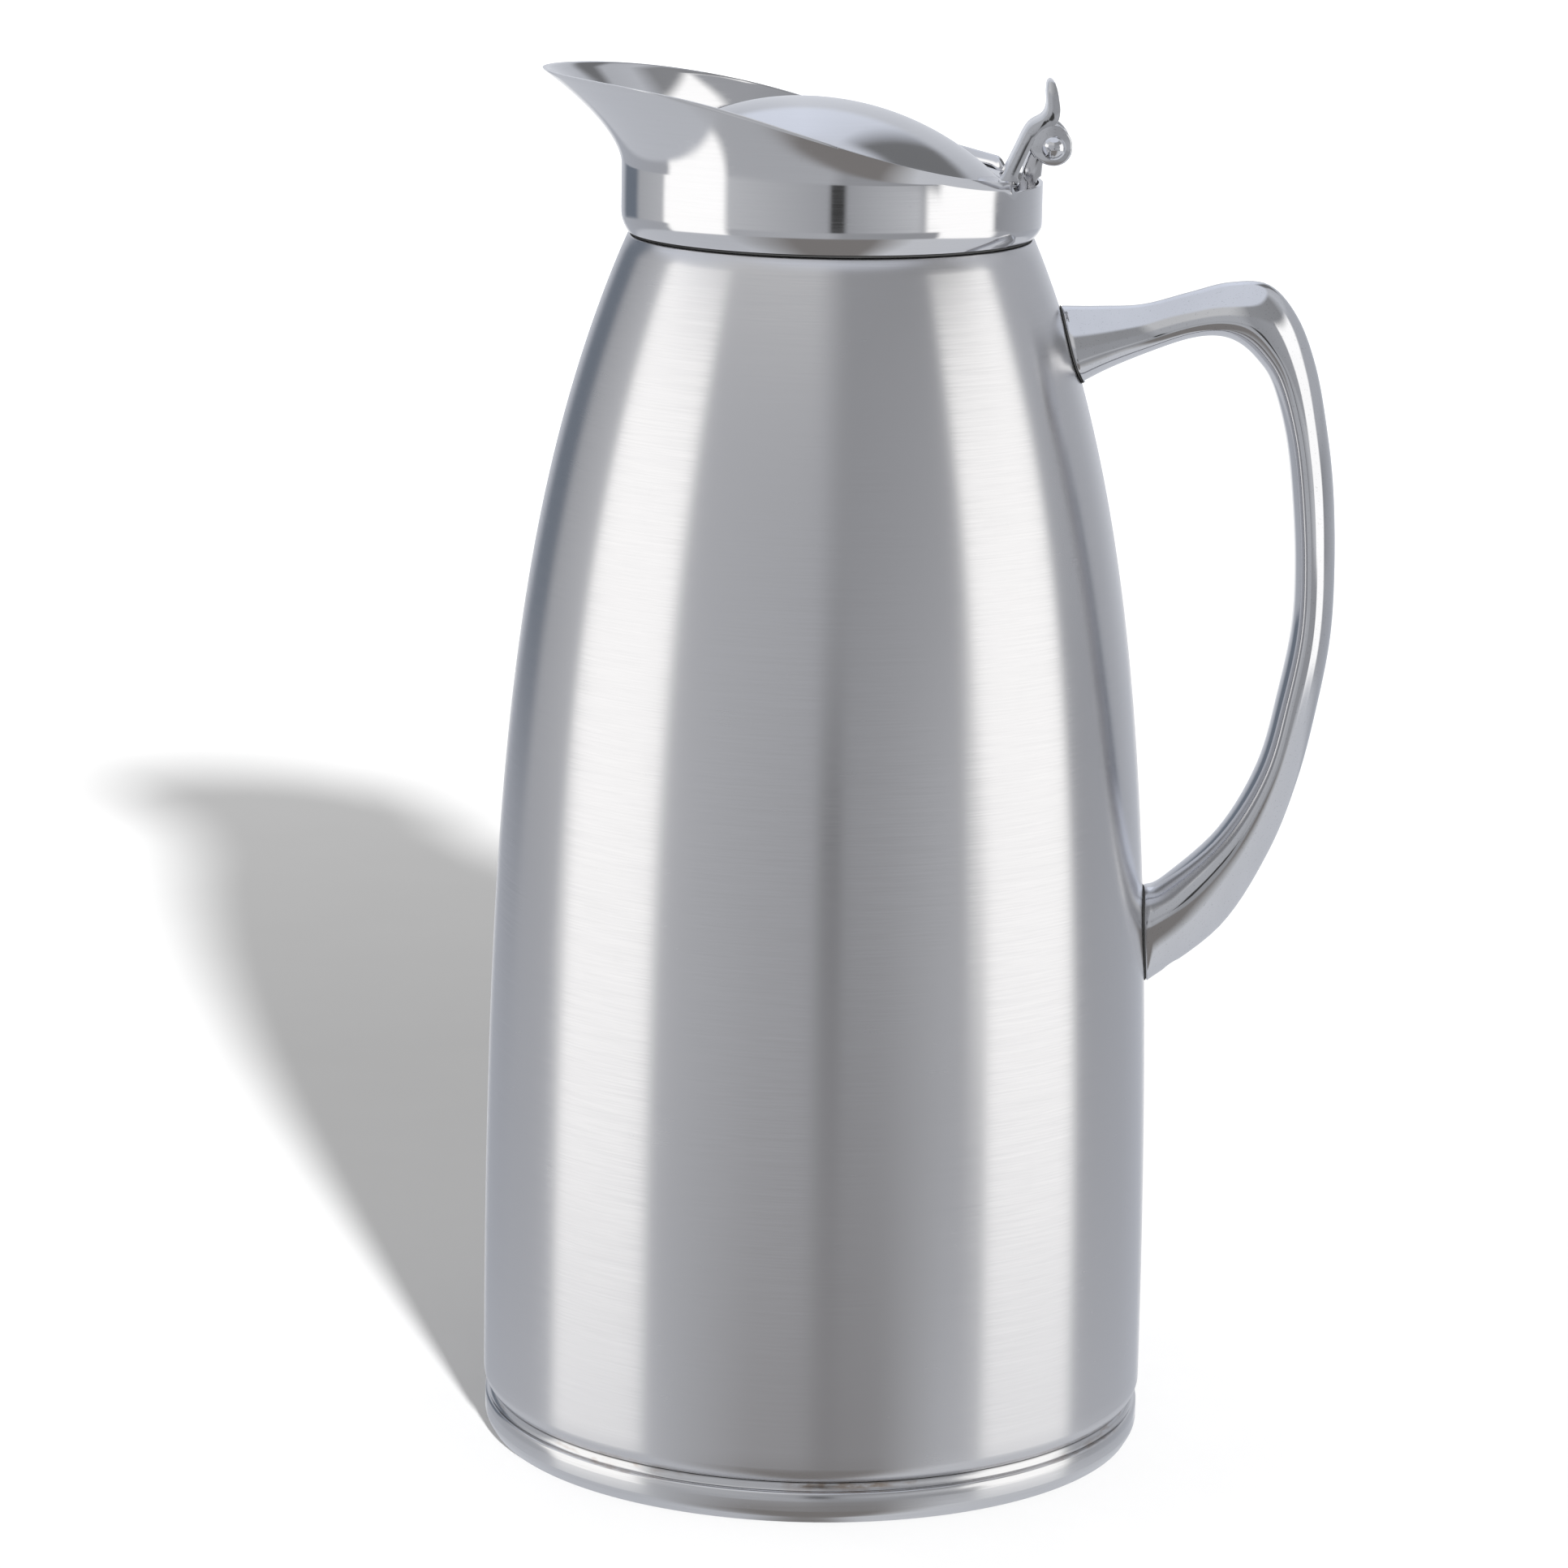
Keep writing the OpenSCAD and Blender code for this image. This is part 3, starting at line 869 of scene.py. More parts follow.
@dataclass(frozen=True)
class CastFinish(Finish):
    """Cast stainless steel, ground and mirror polished."""

    roughness: float = 0.05
    ripple: float = 0.004
    haze: float = 0.5
    haze_tone: float = 0.9
    # Painted shade in creases: how much, and its colour.
    crease_shade: float = 0.6
    crease_shade_tone: Colour = (0.2, 0.2, 0.21)
    pores: float = 0.25
    pore_tone: Colour = (0.3, 0.3, 0.3)

    def make(self) -> bpy.types.Material:
        """Wire ripple, pores, hairlines, handling marks and painted shade in creases into a metal.

        Returns:
            The material.
        """
        material, wiring, shader = self.start()
        shader.inputs["Metallic"].default_value = 1.0
        skin = SHELF.place(wiring, Effect.CAST_SKIN)
        smudge = SHELF.place(wiring, Effect.SMUDGES, Spread=(60.0, 60.0, 40.0))
        wear_and_crease_shade = SHELF.place(wiring, Effect.EDGE_WEAR)
        hairs = SHELF.place(wiring, Effect.SCRATCHES, Density=0.8)
        hazed = wiring.math("MULTIPLY", smudge.outputs["Haze"], self.haze)
        tone = wiring.mix(hazed, rgba(self.colour), self.tinted(self.haze_tone))
        # Painted shade: creases are darkened to a dark grey.
        shaded_creases = wiring.math("MULTIPLY", wear_and_crease_shade.outputs["Crease"], self.crease_shade)
        tone = wiring.mix(shaded_creases, tone, rgba(self.crease_shade_tone))
        pitted = wiring.math("MULTIPLY", skin.outputs["Pores"], self.pores)
        tone = wiring.mix(pitted, tone, rgba(self.pore_tone))
        wiring.tree.links.new(tone, shader.inputs["Base Color"])
        prints = wiring.math("MULTIPLY_ADD", smudge.outputs["Prints"], 0.05, self.roughness)
        rough = wiring.math("MULTIPLY_ADD", hairs.outputs[0], 0.08, prints)
        wiring.tree.links.new(rough, shader.inputs["Roughness"])
        height = wiring.math("MULTIPLY_ADD", skin.outputs["Pores"], -0.05, skin.outputs["Ripple"])
        self.bump(wiring, shader, height, self.ripple)
        return material


@dataclass(frozen=True)
class SoftFinish(Finish):
    """Rubber, silicone or foam."""

    other: Colour = (0.1, 0.1, 0.1)
    roughness: float = 0.6
    cell: float = 900.0
    depth: float = 0.03
    scatter: float = 0.0

    def make(self) -> bpy.types.Material:
        """Wire a mottled, fine-grained skin.

        Returns:
            The material.
        """
        material, wiring, shader = self.start()
        shader.inputs["Subsurface Weight"].default_value = self.scatter
        shader.inputs["Subsurface Radius"].default_value = (0.002, 0.002, 0.002)
        place = wiring.stretched((self.cell, self.cell, self.cell))
        cells = wiring.noise(place, 1.0, 4.0, 0.6)
        smudge = SHELF.place(wiring, Effect.SMUDGES)
        wear_and_crease_shade = SHELF.place(wiring, Effect.EDGE_WEAR)
        tone = wiring.mix(wiring.step(cells, 0.35, 0.7), rgba(self.colour), rgba(self.other))
        light = rgba(tuple(min(0.9, c * 1.5 + 0.03) for c in self.other))
        worn = wiring.math("MULTIPLY", wear_and_crease_shade.outputs["Edge"], 0.6)
        wiring.tree.links.new(wiring.mix(worn, tone, light), shader.inputs["Base Color"])
        rough = wiring.math("MULTIPLY_ADD", smudge.outputs["Haze"], 0.12, self.roughness)
        wiring.tree.links.new(rough, shader.inputs["Roughness"])
        self.bump(wiring, shader, cells, self.depth)
        return material


FINISHES: dict[Slot, Finish] = {
    Slot.BRUSHED_STEEL: SteelFinish(
        "brushed_shell_steel", (0.74, 0.736, 0.747), roughness=0.2, grain_rough=0.07, directional=0.8,
        grain_depth=0.0009, grain_tone=0.03, dust=0.03, hairs=0.03, haze=0.015,
    ),
    Slot.LINER_STEEL: SteelFinish(
        "drawn_liner_steel", (0.8, 0.8, 0.81), roughness=0.3, grain=(90.0, 90.0, 900.0), haze=0.08,
        hairs=0.2, crease_shade=0.06,
    ),
    Slot.POLISHED_STEEL: SteelFinish(
        "polished_collar_steel", (0.76, 0.76, 0.775), roughness=0.05, grain_rough=0.06,
        grain=(50.0, 50.0, 3000.0), grain_tone=0.02, grain_depth=0.0002, haze=0.03,
    ),
    # The ring's blotchy deposit is real staining; its dark band at the groove height is painted shade.
    Slot.RING_STEEL: SteelFinish(
        "polished_ring_steel", (0.74, 0.74, 0.75), roughness=0.12, grain_rough=0.1,
        grain=(50.0, 50.0, 3000.0), grain_depth=0.0004, stain_low=5.9, stain_high=8.6, groove=7.9,
    ),
    Slot.CAST_STEEL: CastFinish("cast_handle_steel", (0.76, 0.765, 0.785)),
    Slot.SCREW_STEEL: SteelFinish(
        "blackened_screw_steel", (0.2, 0.2, 0.21), roughness=0.35, grain=(900.0, 900.0, 900.0)
    ),
    Slot.BUSH_BRASS: SteelFinish(
        "turned_bush_brass", (0.75, 0.55, 0.24), roughness=0.28, grain=(200.0, 3000.0, 200.0)
    ),
    Slot.BRAZE_BRASS: SteelFinish(
        "sealing_braze", (0.7, 0.5, 0.25), roughness=0.4, grain=(400.0, 400.0, 400.0), grain_tone=0.2
    ),
    Slot.GETTER_ALLOY: SteelFinish(
        "getter_alloy", (0.22, 0.22, 0.23), roughness=0.6, grain=(1500.0, 1500.0, 1500.0), grain_tone=0.3
    ),
    Slot.BLACK_RUBBER: SoftFinish("black_rubber", (0.012, 0.012, 0.013), (0.03, 0.03, 0.031)),
    Slot.CLEAR_SILICONE: SoftFinish(
        "milky_silicone", (0.75, 0.76, 0.75), (0.66, 0.67, 0.66), roughness=0.35, depth=0.01, scatter=0.3
    ),
    Slot.FOAM: SoftFinish("insulating_foam", (0.72, 0.62, 0.36), (0.6, 0.48, 0.25), cell=1400.0, depth=0.2),
}


def hand_over(piece: bpy.types.Object, body: Body, slot: Slot, *nodes: str) -> None:
    """Give a finished piece its material, its body and the CAD nodes that it stands for.

    Args:
        piece: The piece.
        body: The body it rides on.
        slot: Its material slot.
        *nodes: CAD nodes that it replaces.
    """
    settle(piece)
    piece.data.materials.clear()
    piece.data.materials.append(FINISHES[slot].material())
    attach(piece, body.value)
    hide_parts(*nodes)
    log.info("%s: %d faces, rides on %s", piece.name, len(piece.data.polygons), body.value)


# ---------------------------------------------------------------- vessel


@dataclass(frozen=True)
class ShellLine:
    """The outer shell's outline, shared by the pieces that sit on it."""

    radius: float = 67.4
    top: float = 244.0
    belly: float = 20.0
    slow_drop: float = 10.0
    fast_drop: float = 17.2
    power: float = 4.4
    wall: float = 0.8

    def at(self, height: float) -> float:
        """Give the outer radius at a height, both in millimetres."""
        t = max(0.0, (height - self.belly) / (self.top - self.belly))
        return self.radius - self.slow_drop * t**2 - self.fast_drop * t**self.power


SHELL = ShellLine()


@dataclass(frozen=True)
class Vessel:
    """The double-walled vessel: shell, liner, neck gasket and the foot."""

    corner_radius: float = 4.0
    corner_turn: float = 50.0
    bottom: float = 8.2
    tuck_top: float = 246.95
    gasket: Point = (244.25, 244.7)
    flange: float = 247.0
    lip: float = 40.0
    gap: float = 5.4
    neck: float = 34.0
    floor: float = 20.0
    floor_radius: float = 14.0
    steps: int = 72

    def shell_line(self, inset: float) -> list[Point]:
        """Give the shell's outline, moved inwards by an inset.

        Args:
            inset: Distance inwards in millimetres.

        Returns:
            The outline's points, from the lower corner up.
        """
        low = self.bottom + self.corner_radius * math.sin(math.radians(self.corner_turn))
        centre = (SHELL.radius - self.corner_radius, low)
        corner = arc(centre, self.corner_radius - inset, -self.corner_turn, 0)
        heights = spread(low + 3, SHELL.top, self.steps)
        return corner + [(SHELL.at(z) - inset, z) for z in heights]

    def build_shell(self) -> None:
        """Turn the brushed outer shell, tucked in under the collar."""
        tuck = SHELL.at(SHELL.top) - 1
        wall = SHELL.wall
        outside = self.shell_line(0)[:-1]
        edge = SHELL.top - 0.2
        outside += [(SHELL.at(edge) - 0.05, edge), (tuck + 0.7, SHELL.top)]
        outside += [(tuck, SHELL.top + 0.2), (tuck, self.tuck_top)]
        inside = [p for p in self.shell_line(wall) if p[1] < SHELL.top - 2]
        inside += [(tuck - wall, SHELL.top - 1), (tuck - wall, self.tuck_top)]
        piece = Turned("body_shell", outside + inside[::-1], steps=320).build()
        hand_over(piece, Body.VESSEL, Slot.BRUSHED_STEEL, "outer_shell")

    def liner_radius(self, height: float, inset: float) -> float:
        """Give the liner's radius at a height."""
        outer = max(self.neck + SHELL.wall, SHELL.at(height) - SHELL.wall - self.gap)
        return outer - inset

    def liner_line(self, inset: float) -> list[Point]:
        """Give the liner's outline, moved inwards by an inset.

        Args:
            inset: Distance inwards in millimetres.

        Returns:
            The outline's points, from the middle of the bottom outwards and up.
        """
        low = self.floor + self.floor_radius
        centre = (self.liner_radius(low, 0) - self.floor_radius, low)
        line = [(0.0, self.floor + inset)]
        line += arc(centre, self.floor_radius - inset, -90, 0, 12)
        heights = spread(low + 5, self.flange, self.steps)
        return line + [(self.liner_radius(z, inset), z) for z in heights]

    def build_liner(self) -> None:
        """Turn the inner liner with its top flange."""
        wall = SHELL.wall
        outside = self.liner_line(0) + [(self.lip, self.flange), (self.lip, self.flange + wall)]
        inside = self.liner_line(wall) + [(self.neck, self.flange + wall)]
        piece = Turned("inner_vessel", outside + inside[::-1], closed=False, steps=192).build()
        hand_over(piece, Body.VESSEL, Slot.LINER_STEEL, "inner_liner", "liner_neck")

    def build_neck_gasket(self) -> None:
        """Turn the thin black gasket in the joint under the collar."""
        inner = SHELL.at(SHELL.top) - 0.95
        low, high = self.gasket
        profile = [(inner, low), (39.9, low), (39.9, high), (inner, high)]
        piece = Turned("neck_seal_band", profile, steps=128, rounding=0.1).build()
        hand_over(piece, Body.VESSEL, Slot.BLACK_RUBBER, "neck_gasket")

    def build(self) -> None:
        """Build the vessel's pieces."""
        self.build_shell()
        self.build_liner()
        self.build_neck_gasket()


@dataclass(frozen=True)
class Foot:
    """The polished base ring, the cover plate and the rubber pad."""

    sleeve: float = 65.0
    lip: float = 67.1
    top: float = 8.0

    def build_ring(self) -> None:
        """Turn the convex ring with its lip and inset band."""
        profile = [(self.sleeve - 2, 0.05), (self.sleeve - 1.7, 0.0), (66.0, 0.0)]
        profile += arc((self.lip - 2.6, 2.6), 2.6, -35, 0, 8)
        profile += [(self.lip, 4.4), (self.lip, 5.8), (67.0, 6.1), (66.75, 6.28), (66.5, 6.32)]
        profile += [(66.1, 6.36), (65.95, 6.5), (65.85, 6.8), (65.8, self.top)]
        profile += [(self.sleeve, self.top), (self.sleeve, 12.4), (64.0, 12.9), (63.0, 12.9)]
        piece = Turned("foot_ring", profile, steps=320).build()
        hand_over(piece, Body.VESSEL, Slot.RING_STEEL, "base_ring")

    def build_cover(self) -> None:
        """Turn the pressed plate that closes the underside."""
        profile = [(0.0, 3.4), (47.6, 3.4), (48.3, 3.1), (49.7, 2.0), (50.4, 1.8), (58.7, 1.8), (59.3, 2.1)]
        profile += [(60.6, 3.2), (61.2, 3.4), (62.5, 3.4), (62.9, 3.7), (62.95, 6.0), (62.2, 6.0)]
        profile += [(62.2, 4.2), (60.7, 4.2), (58.7, 2.6), (50.3, 2.6), (48.3, 4.2), (0.0, 4.2)]
        piece = Turned("foot_cover", profile, closed=False, steps=192).build()
        hand_over(piece, Body.VESSEL, Slot.LINER_STEEL, "base_cover")

    def build_pad(self) -> None:
        """Turn the rubber pad with three moulded grooves in its sole."""
        profile: list[Point] = [(0.0, 0.0)]
        for radius in (30.0, 44.0, 54.0):
            profile += [(radius - 0.6, 0.0), (radius - 0.4, 0.4), (radius + 0.4, 0.4), (radius + 0.6, 0.0)]
        profile += [(58.0, 0.0), (58.4, 0.4), (58.4, 1.75), (49.8, 1.75), (47.8, 3.35), (0.0, 3.35)]
        piece = Turned("foot_pad", profile, closed=False, steps=160).build()
        hand_over(piece, Body.VESSEL, Slot.BLACK_RUBBER, "base_pad")

    def build(self) -> None:
        """Build the foot's pieces."""
        self.build_ring()
        self.build_cover()
        self.build_pad()


@dataclass(frozen=True)
class Collar:
    """The polished pouring collar with its wide beak, and the seat inside it."""

    band: float = 41.5
    bottom: float = 244.75
    flare: float = 258.0
    rim: float = 42.5
    mid_height: float = 265.8
    rise: float = 11.5
    run: float = 38.0
    reach: float = 14.9
    half_angle: float = 65.0
    notch_angle: float = 38.0
    notch_height: float = 255.3
    wall: float = 0.8
    power: float = 1.6
    turns: int = 288
    steps: int = 22

    def rim_radius(self, angle: float) -> float:
        """Give the rim's radius at an angle.

        Args:
            angle: Angle from the beak's tip in degrees.

        Returns:
            The radius in millimetres.
        """
        if abs(angle) >= self.half_angle:
            return self.rim
        return self.rim + self.reach * math.cos(math.radians(90 * angle / self.half_angle)) ** 2

    def notch(self, angle: float) -> float:
        """Give 1 in the middle of the rear notch and 0 on the rest of the rim.

        Args:
            angle: Angle from the beak's tip in degrees.

        Returns:
            The share of the notch.
        """
        d = (180 - abs(angle)) / self.notch_angle
        t = min(1.0, max(0.0, (1 - d) / 0.2))
        return t * t * (3 - 2 * t) if 0 < t < 1 else t

    def rim_height(self, angle: float) -> float:
        """Give the rim's height at an angle.

        Args:
            angle: Angle from the beak's tip in degrees.

        Returns:
            The height in millimetres.
        """
        along = self.rim_radius(angle) * math.cos(math.radians(angle))
        free = self.mid_height + self.rise * math.tanh(along / self.run)
        n = self.notch(angle)
        return free * (1 - n) + self.notch_height * n

    def flare_reach(self, angle: float) -> float:
        """Give how far the rim stands out from the band at an angle."""
        return (self.rim_radius(angle) - self.band) * (1 - self.notch(angle))

    def flare_base(self, angle: float) -> float:
        """Give the height at which the flare starts at an angle."""
        return min(self.flare, self.rim_height(angle) - 2)

    def place(self, angle: float, radius: float, height: float) -> Vector:
        """Give a place by its angle from the beak's tip."""
        a = math.radians(angle)
        return Vector((-radius * math.cos(a), -radius * math.sin(a), height)) * MM

    def flare_point(self, angle: float, u: float, inset: float) -> Vector:
        """Give a place on the flare; u is 0 at its foot and 1 at the rim.

        Args:
            angle: Angle from the beak's tip in degrees.
            u: Place between foot and rim.
            inset: Distance inwards in millimetres.

        Returns:
            The place in metres.
        """
        thin = inset * (1 + 0.6 * u * self.flare_reach(angle) / self.reach)
        radius = self.band + self.flare_reach(angle) * u**self.power - thin
        base = self.flare_base(angle)
        return self.place(angle, radius, base + (self.rim_height(angle) - base) * u)

    def band_point(self, angle: float, v: float, inset: float) -> Vector:
        """Give a place on the band; v is 0 at its lower edge and 1 at the flare.

        Args:
            angle: Angle from the beak's tip in degrees.
            v: Place between lower edge and flare.
            inset: Distance inwards in millimetres.

        Returns:
            The place in metres.
        """
        tuck = 1.2 * (1 - min(1.0, v / 0.3)) ** 2
        low = 0.2 if inset else 0.0
        radius = self.band - tuck - inset + low * (1 - v)
        return self.place(angle, radius, self.bottom + (self.flare_base(angle) - self.bottom) * v)

    def build_collar(self) -> None:
        """Pull the collar's skin up outside, over the rim and down inside."""
        angles = [-180 + 360 * i / self.turns for i in range(self.turns)]
        up = (0, 0.04, 0.09, 0.14, 0.2, 0.26, 0.34, 0.6)
        rings = [[self.band_point(a, v, 0) for a in angles] for v in up]
        rings += [[self.flare_point(a, u, 0) for a in angles] for u in spread(0, 0.985, self.steps)]
        for share in (0.12, 0.5, 0.88):
            u = 1.0 - 0.004 * abs(share - 0.5)
            rings.append([self.flare_point(a, u, self.wall * share) for a in angles])
        rings += [[self.flare_point(a, u, self.wall) for a in angles] for u in spread(0.985, 0, self.steps)]
        rings += [[self.band_point(a, v, self.wall) for a in angles] for v in (0.6, 0.3, 0.11, 0)]
        rings.append(rings[0])
        piece = loft("pouring_collar", rings, closed=True)
        shade(piece, CRISP_ANGLE)
        hand_over(piece, Body.VESSEL, Slot.POLISHED_STEEL, "pour_collar")

    def build_seat(self) -> None:
        """Turn the wedge ring that the lid closes on, and slice it along the lid's plane."""
        profile = [(34.0, 247.85), (40.5, 247.85), (40.5, 264.0), (34.0, 264.0)]
        piece = Turned("lid_rest", profile, steps=160).build()
        take_up(piece)
        bpy.ops.mesh.select_all(action="SELECT")
        plane = LID_AXIS.place(0, -5.1)
        bpy.ops.mesh.bisect(plane_co=plane, plane_no=LID_AXIS.up, use_fill=True, clear_outer=True)
        close_skin()
        shade(piece)
        hand_over(piece, Body.VESSEL, Slot.LINER_STEEL, "lid_seat")

    def build(self) -> None:
        """Build the collar and its seat."""
        self.build_collar()
        self.build_seat()


# ---------------------------------------------------------------- handle


@dataclass(frozen=True)
class Handle:
    """The cast handle: a lofted bar with pads under both ends."""

    grip: float = 14.5
    boss: float = 16.5
    foot: float = 14.5
    pad: float = 0.35
    power: float = 0.95
    shift: float = 0.35
    screw_hole: float = 2.0
    around: int = 64
    steps: int = 7

    def stations(self) -> list[tuple[float, ...]]:
        """Give the bar's stations: outer edge x and z, inner edge x and z, and width.

        Returns:
            The stations in order, from the boss to the foot.
        """
        grip, boss, foot = self.grip, self.boss, self.foot
        return [
            (46.3, 230.8, 49.9, 215.6, boss),
            (53.5, 230.9, 55.5, 218.6, boss * 0.86),
            (62.0, 231.4, 63.5, 222.0, grip * 0.76),
            (71.0, 233.9, 71.0, 224.7, grip * 0.8),
            (79.0, 236.0, 76.5, 225.4, grip * 0.9),
            (86.8, 235.6, 80.8, 224.2, grip * 0.97),
            (92.6, 229.4, 84.6, 221.0, grip),
            (96.6, 219.6, 88.0, 216.0, grip),
            (99.2, 207.6, 91.0, 206.0, grip),
            (101.0, 195.0, 92.7, 194.6, grip),
            (101.8, 180.0, 93.8, 180.0, grip),
            (101.5, 165.5, 93.6, 166.6, grip),
            (99.3, 151.0, 91.2, 152.6, grip),
            (95.9, 135.7, 87.6, 138.2, grip * 0.97),
            (90.5, 120.5, 80.2, 124.9, grip * 0.93),
            (81.3, 105.1, 69.6, 114.9, foot * 1.02),
            (66.9, 93.5, 66.1, 113.2, foot),
        ]

    def section(self, station: Sequence[float], share: float = 1.0) -> list[Vector]:
        """Lay an oval across a station, widest towards its inner edge.

        Args:
            station: Outer edge x and z, inner edge x and z, and width.
            share: Size of the oval against the station's.

        Returns:
            The ring's places in metres.
        """
        outer = Vector((station[0], 0, station[1]))
        inner = Vector((station[2], 0, station[3]))
        middle = (outer + inner) / 2
        half = (outer - inner) / 2
        ring = []
        for i in range(self.around):
            a = math.tau * i / self.around
            c, s = math.cos(a), math.sin(a)
            deep = math.copysign(abs(c) ** self.power, c) * share
            wide = math.copysign(abs(s) ** self.power, s) * share * (1 - self.shift * c)
            ring.append((middle + half * deep + Vector((0, station[4] / 2 * wide, 0))) * MM)
        return ring

    def on_shell(self, ring: Sequence[Vector], away: float) -> list[Vector]:
        """Press a ring onto the shell.

        Args:
            ring: The ring's places in metres.
            away: Distance from the shell's surface in millimetres.

        Returns:
            The pressed ring.
        """
        pressed = []
        for p in ring:
            reach = (SHELL.at(p.z / MM) + away) * MM
            pressed.append(Vector((math.sqrt(reach**2 - p.y**2), p.y, p.z)))
        return pressed

    def drill(self, bar: bpy.types.Object, x: float, low: float, top: float) -> None:
        """Bore a set screw's hole into the bar from below.

        Args:
            bar: The handle's bar.
            x: Place of the hole along the bar.
            low: Height at which the drill starts, outside the bar.
            top: Height of the hole's end.
        """
        clear_bench()
        middle = Vector((x, 0, (low + top) / 2)) * MM
        depth = (top - low) * MM
        radius = self.screw_hole * MM
        bpy.ops.mesh.primitive_cylinder_add(vertices=48, radius=radius, depth=depth, location=middle)
        bit = name_piece("drill_bit")
        take_up(bar, editing=False)
        bpy.ops.object.modifier_add(type="BOOLEAN")
        cut = bar.modifiers[-1]
        cut.operation = "DIFFERENCE"
        cut.object = bit
        bpy.ops.object.modifier_apply(modifier=cut.name)
        take_up(bit, editing=False)
        bpy.ops.object.delete()

    def build_bar(self) -> None:
        """Pull the bar from boss to foot and ease its two end edges."""
        rows = flow(self.stations(), self.steps)
        away = self.pad + 0.1
        ends = [self.on_shell(self.section(rows[i], 0.985), away) for i in (0, -1)]
        lips = [self.on_shell(self.section(rows[i]), away + 0.25) for i in (0, -1)]
        rings = [ends[0], lips[0], *[self.section(row) for row in rows[1:-1]], lips[1], ends[1]]
        piece = loft("handle_bar", rings)
        for x, low, top in ((54.5, 210.0, 221.45), (71.5, 90.0, 100.45)):
            self.drill(piece, x, low, top)
        shade(piece, CRISP_ANGLE)
        hand_over(piece, Body.VESSEL, Slot.CAST_STEEL, "handle")

    def build_pads(self) -> None:
        """Pull the thin rubber pads between the handle's ends and the shell."""
        rows = self.stations()
        for name, row, node in (
            ("boss_pad", rows[0], "upper_handle_pad"),
            ("foot_end_pad", rows[-1], "lower_handle_pad"),
        ):
            levels = ((0.97, 0.05), (1.0, 0.12), (1.0, self.pad - 0.05), (0.97, self.pad + 0.05))
            rings = [self.on_shell(self.section(row, share), away) for share, away in levels]
            piece = loft(name, rings)
            shade(piece, CRISP_ANGLE)
            hand_over(piece, Body.VESSEL, Slot.BLACK_RUBBER, node)

    def build(self) -> None:
        """Build the handle and its pads."""
        self.build_bar()
        self.build_pads()


# ---------------------------------------------------------------- lid and hinge

TILT = math.radians(8)
LID_AXIS = Axis(
    centre=(0.5, 0, 260),
    up=(math.sin(TILT), 0, math.cos(TILT)),
    out=(math.cos(TILT), 0, -math.sin(TILT)),
)


@dataclass(frozen=True)
class Lid:
    """The domed lid with its skirt, underside plate and seal."""

    sphere: float = 56.0
    base: float = 33.0
    radius: float = 37.0
    skirt: float = 3.0

    def dome_line(self, inset: float) -> list[Point]:
        """Give the dome's outline, moved inwards by an inset.

        Args:
            inset: Distance inwards in millimetres.

        Returns:
            The outline's points, from the top of the dome outwards.
        """
        drop = math.sqrt(self.sphere**2 - self.base**2)
        edge = math.degrees(math.asin(self.base / self.sphere))
        line = arc((0, -drop), self.sphere - inset, 90, 90 - edge, 28)
        return [(0.0, self.sphere - inset - drop)] + line[1:]

    def build_dome(self) -> None:
        """Turn the dome, its flange and its turned-down edge."""
        r = self.radius
        profile = self.dome_line(0) + [(33.8, -0.1), (34.6, 0.08), (35.6, 0.24)]
        profile += [(r - 0.7, 0.36), (r - 0.35, 0.3), (r - 0.1, 0.1), (r, -0.2), (r, -self.skirt + 0.15)]
        profile += [(r - 0.15, -self.skirt), (r - 0.8, -self.skirt), (r - 0.8, -0.6)]
        profile += self.dome_line(0.9)[::-1]
        piece = Turned("lid_cap", profile, LID_AXIS, closed=False, steps=288).build()
        hand_over(piece, Body.LID, Slot.POLISHED_STEEL, "lid_dome")

    def build_plate(self) -> None:
        """Turn the plate under the lid, with one shallow pressed ring."""
        edge = self.radius - 0.85
        profile = [(0.0, -5.2), (14.0, -5.2), (15.0, -4.9), (19.0, -4.9), (20.0, -5.2), (32.0, -5.2)]
        profile += [(32.8, -5.1), (33.3, -4.8), (33.4, -4.4), (33.4, -3.0), (edge, -3.0), (edge, -2.0)]
        profile += [(0.0, -2.0)]
        piece = Turned("lid_underside", profile, LID_AXIS, closed=False, steps=192).build()
        hand_over(piece, Body.LID, Slot.LINER_STEEL, "lid_base_plate")

    def build_seal(self) -> None:
        """Turn the silicone seal with its two lips."""
        profile = [(33.45, -3.05), (self.radius + 0.3, -3.05), (self.radius + 0.4, -3.5), (36.9, -4.6)]
        profile += [(36.5, -4.8), (36.0, -4.7), (35.5, -4.4), (35.0, -4.7), (34.4, -4.8), (33.45, -4.2)]
        piece = Turned("lid_seal", profile, LID_AXIS, steps=192, rounding=0.08).build()
        hand_over(piece, Body.LID, Slot.CLEAR_SILICONE, "lid_gasket")

    def build(self) -> None:
        """Build the lid's pieces."""
        self.build_dome()
        self.build_plate()
        self.build_seal()


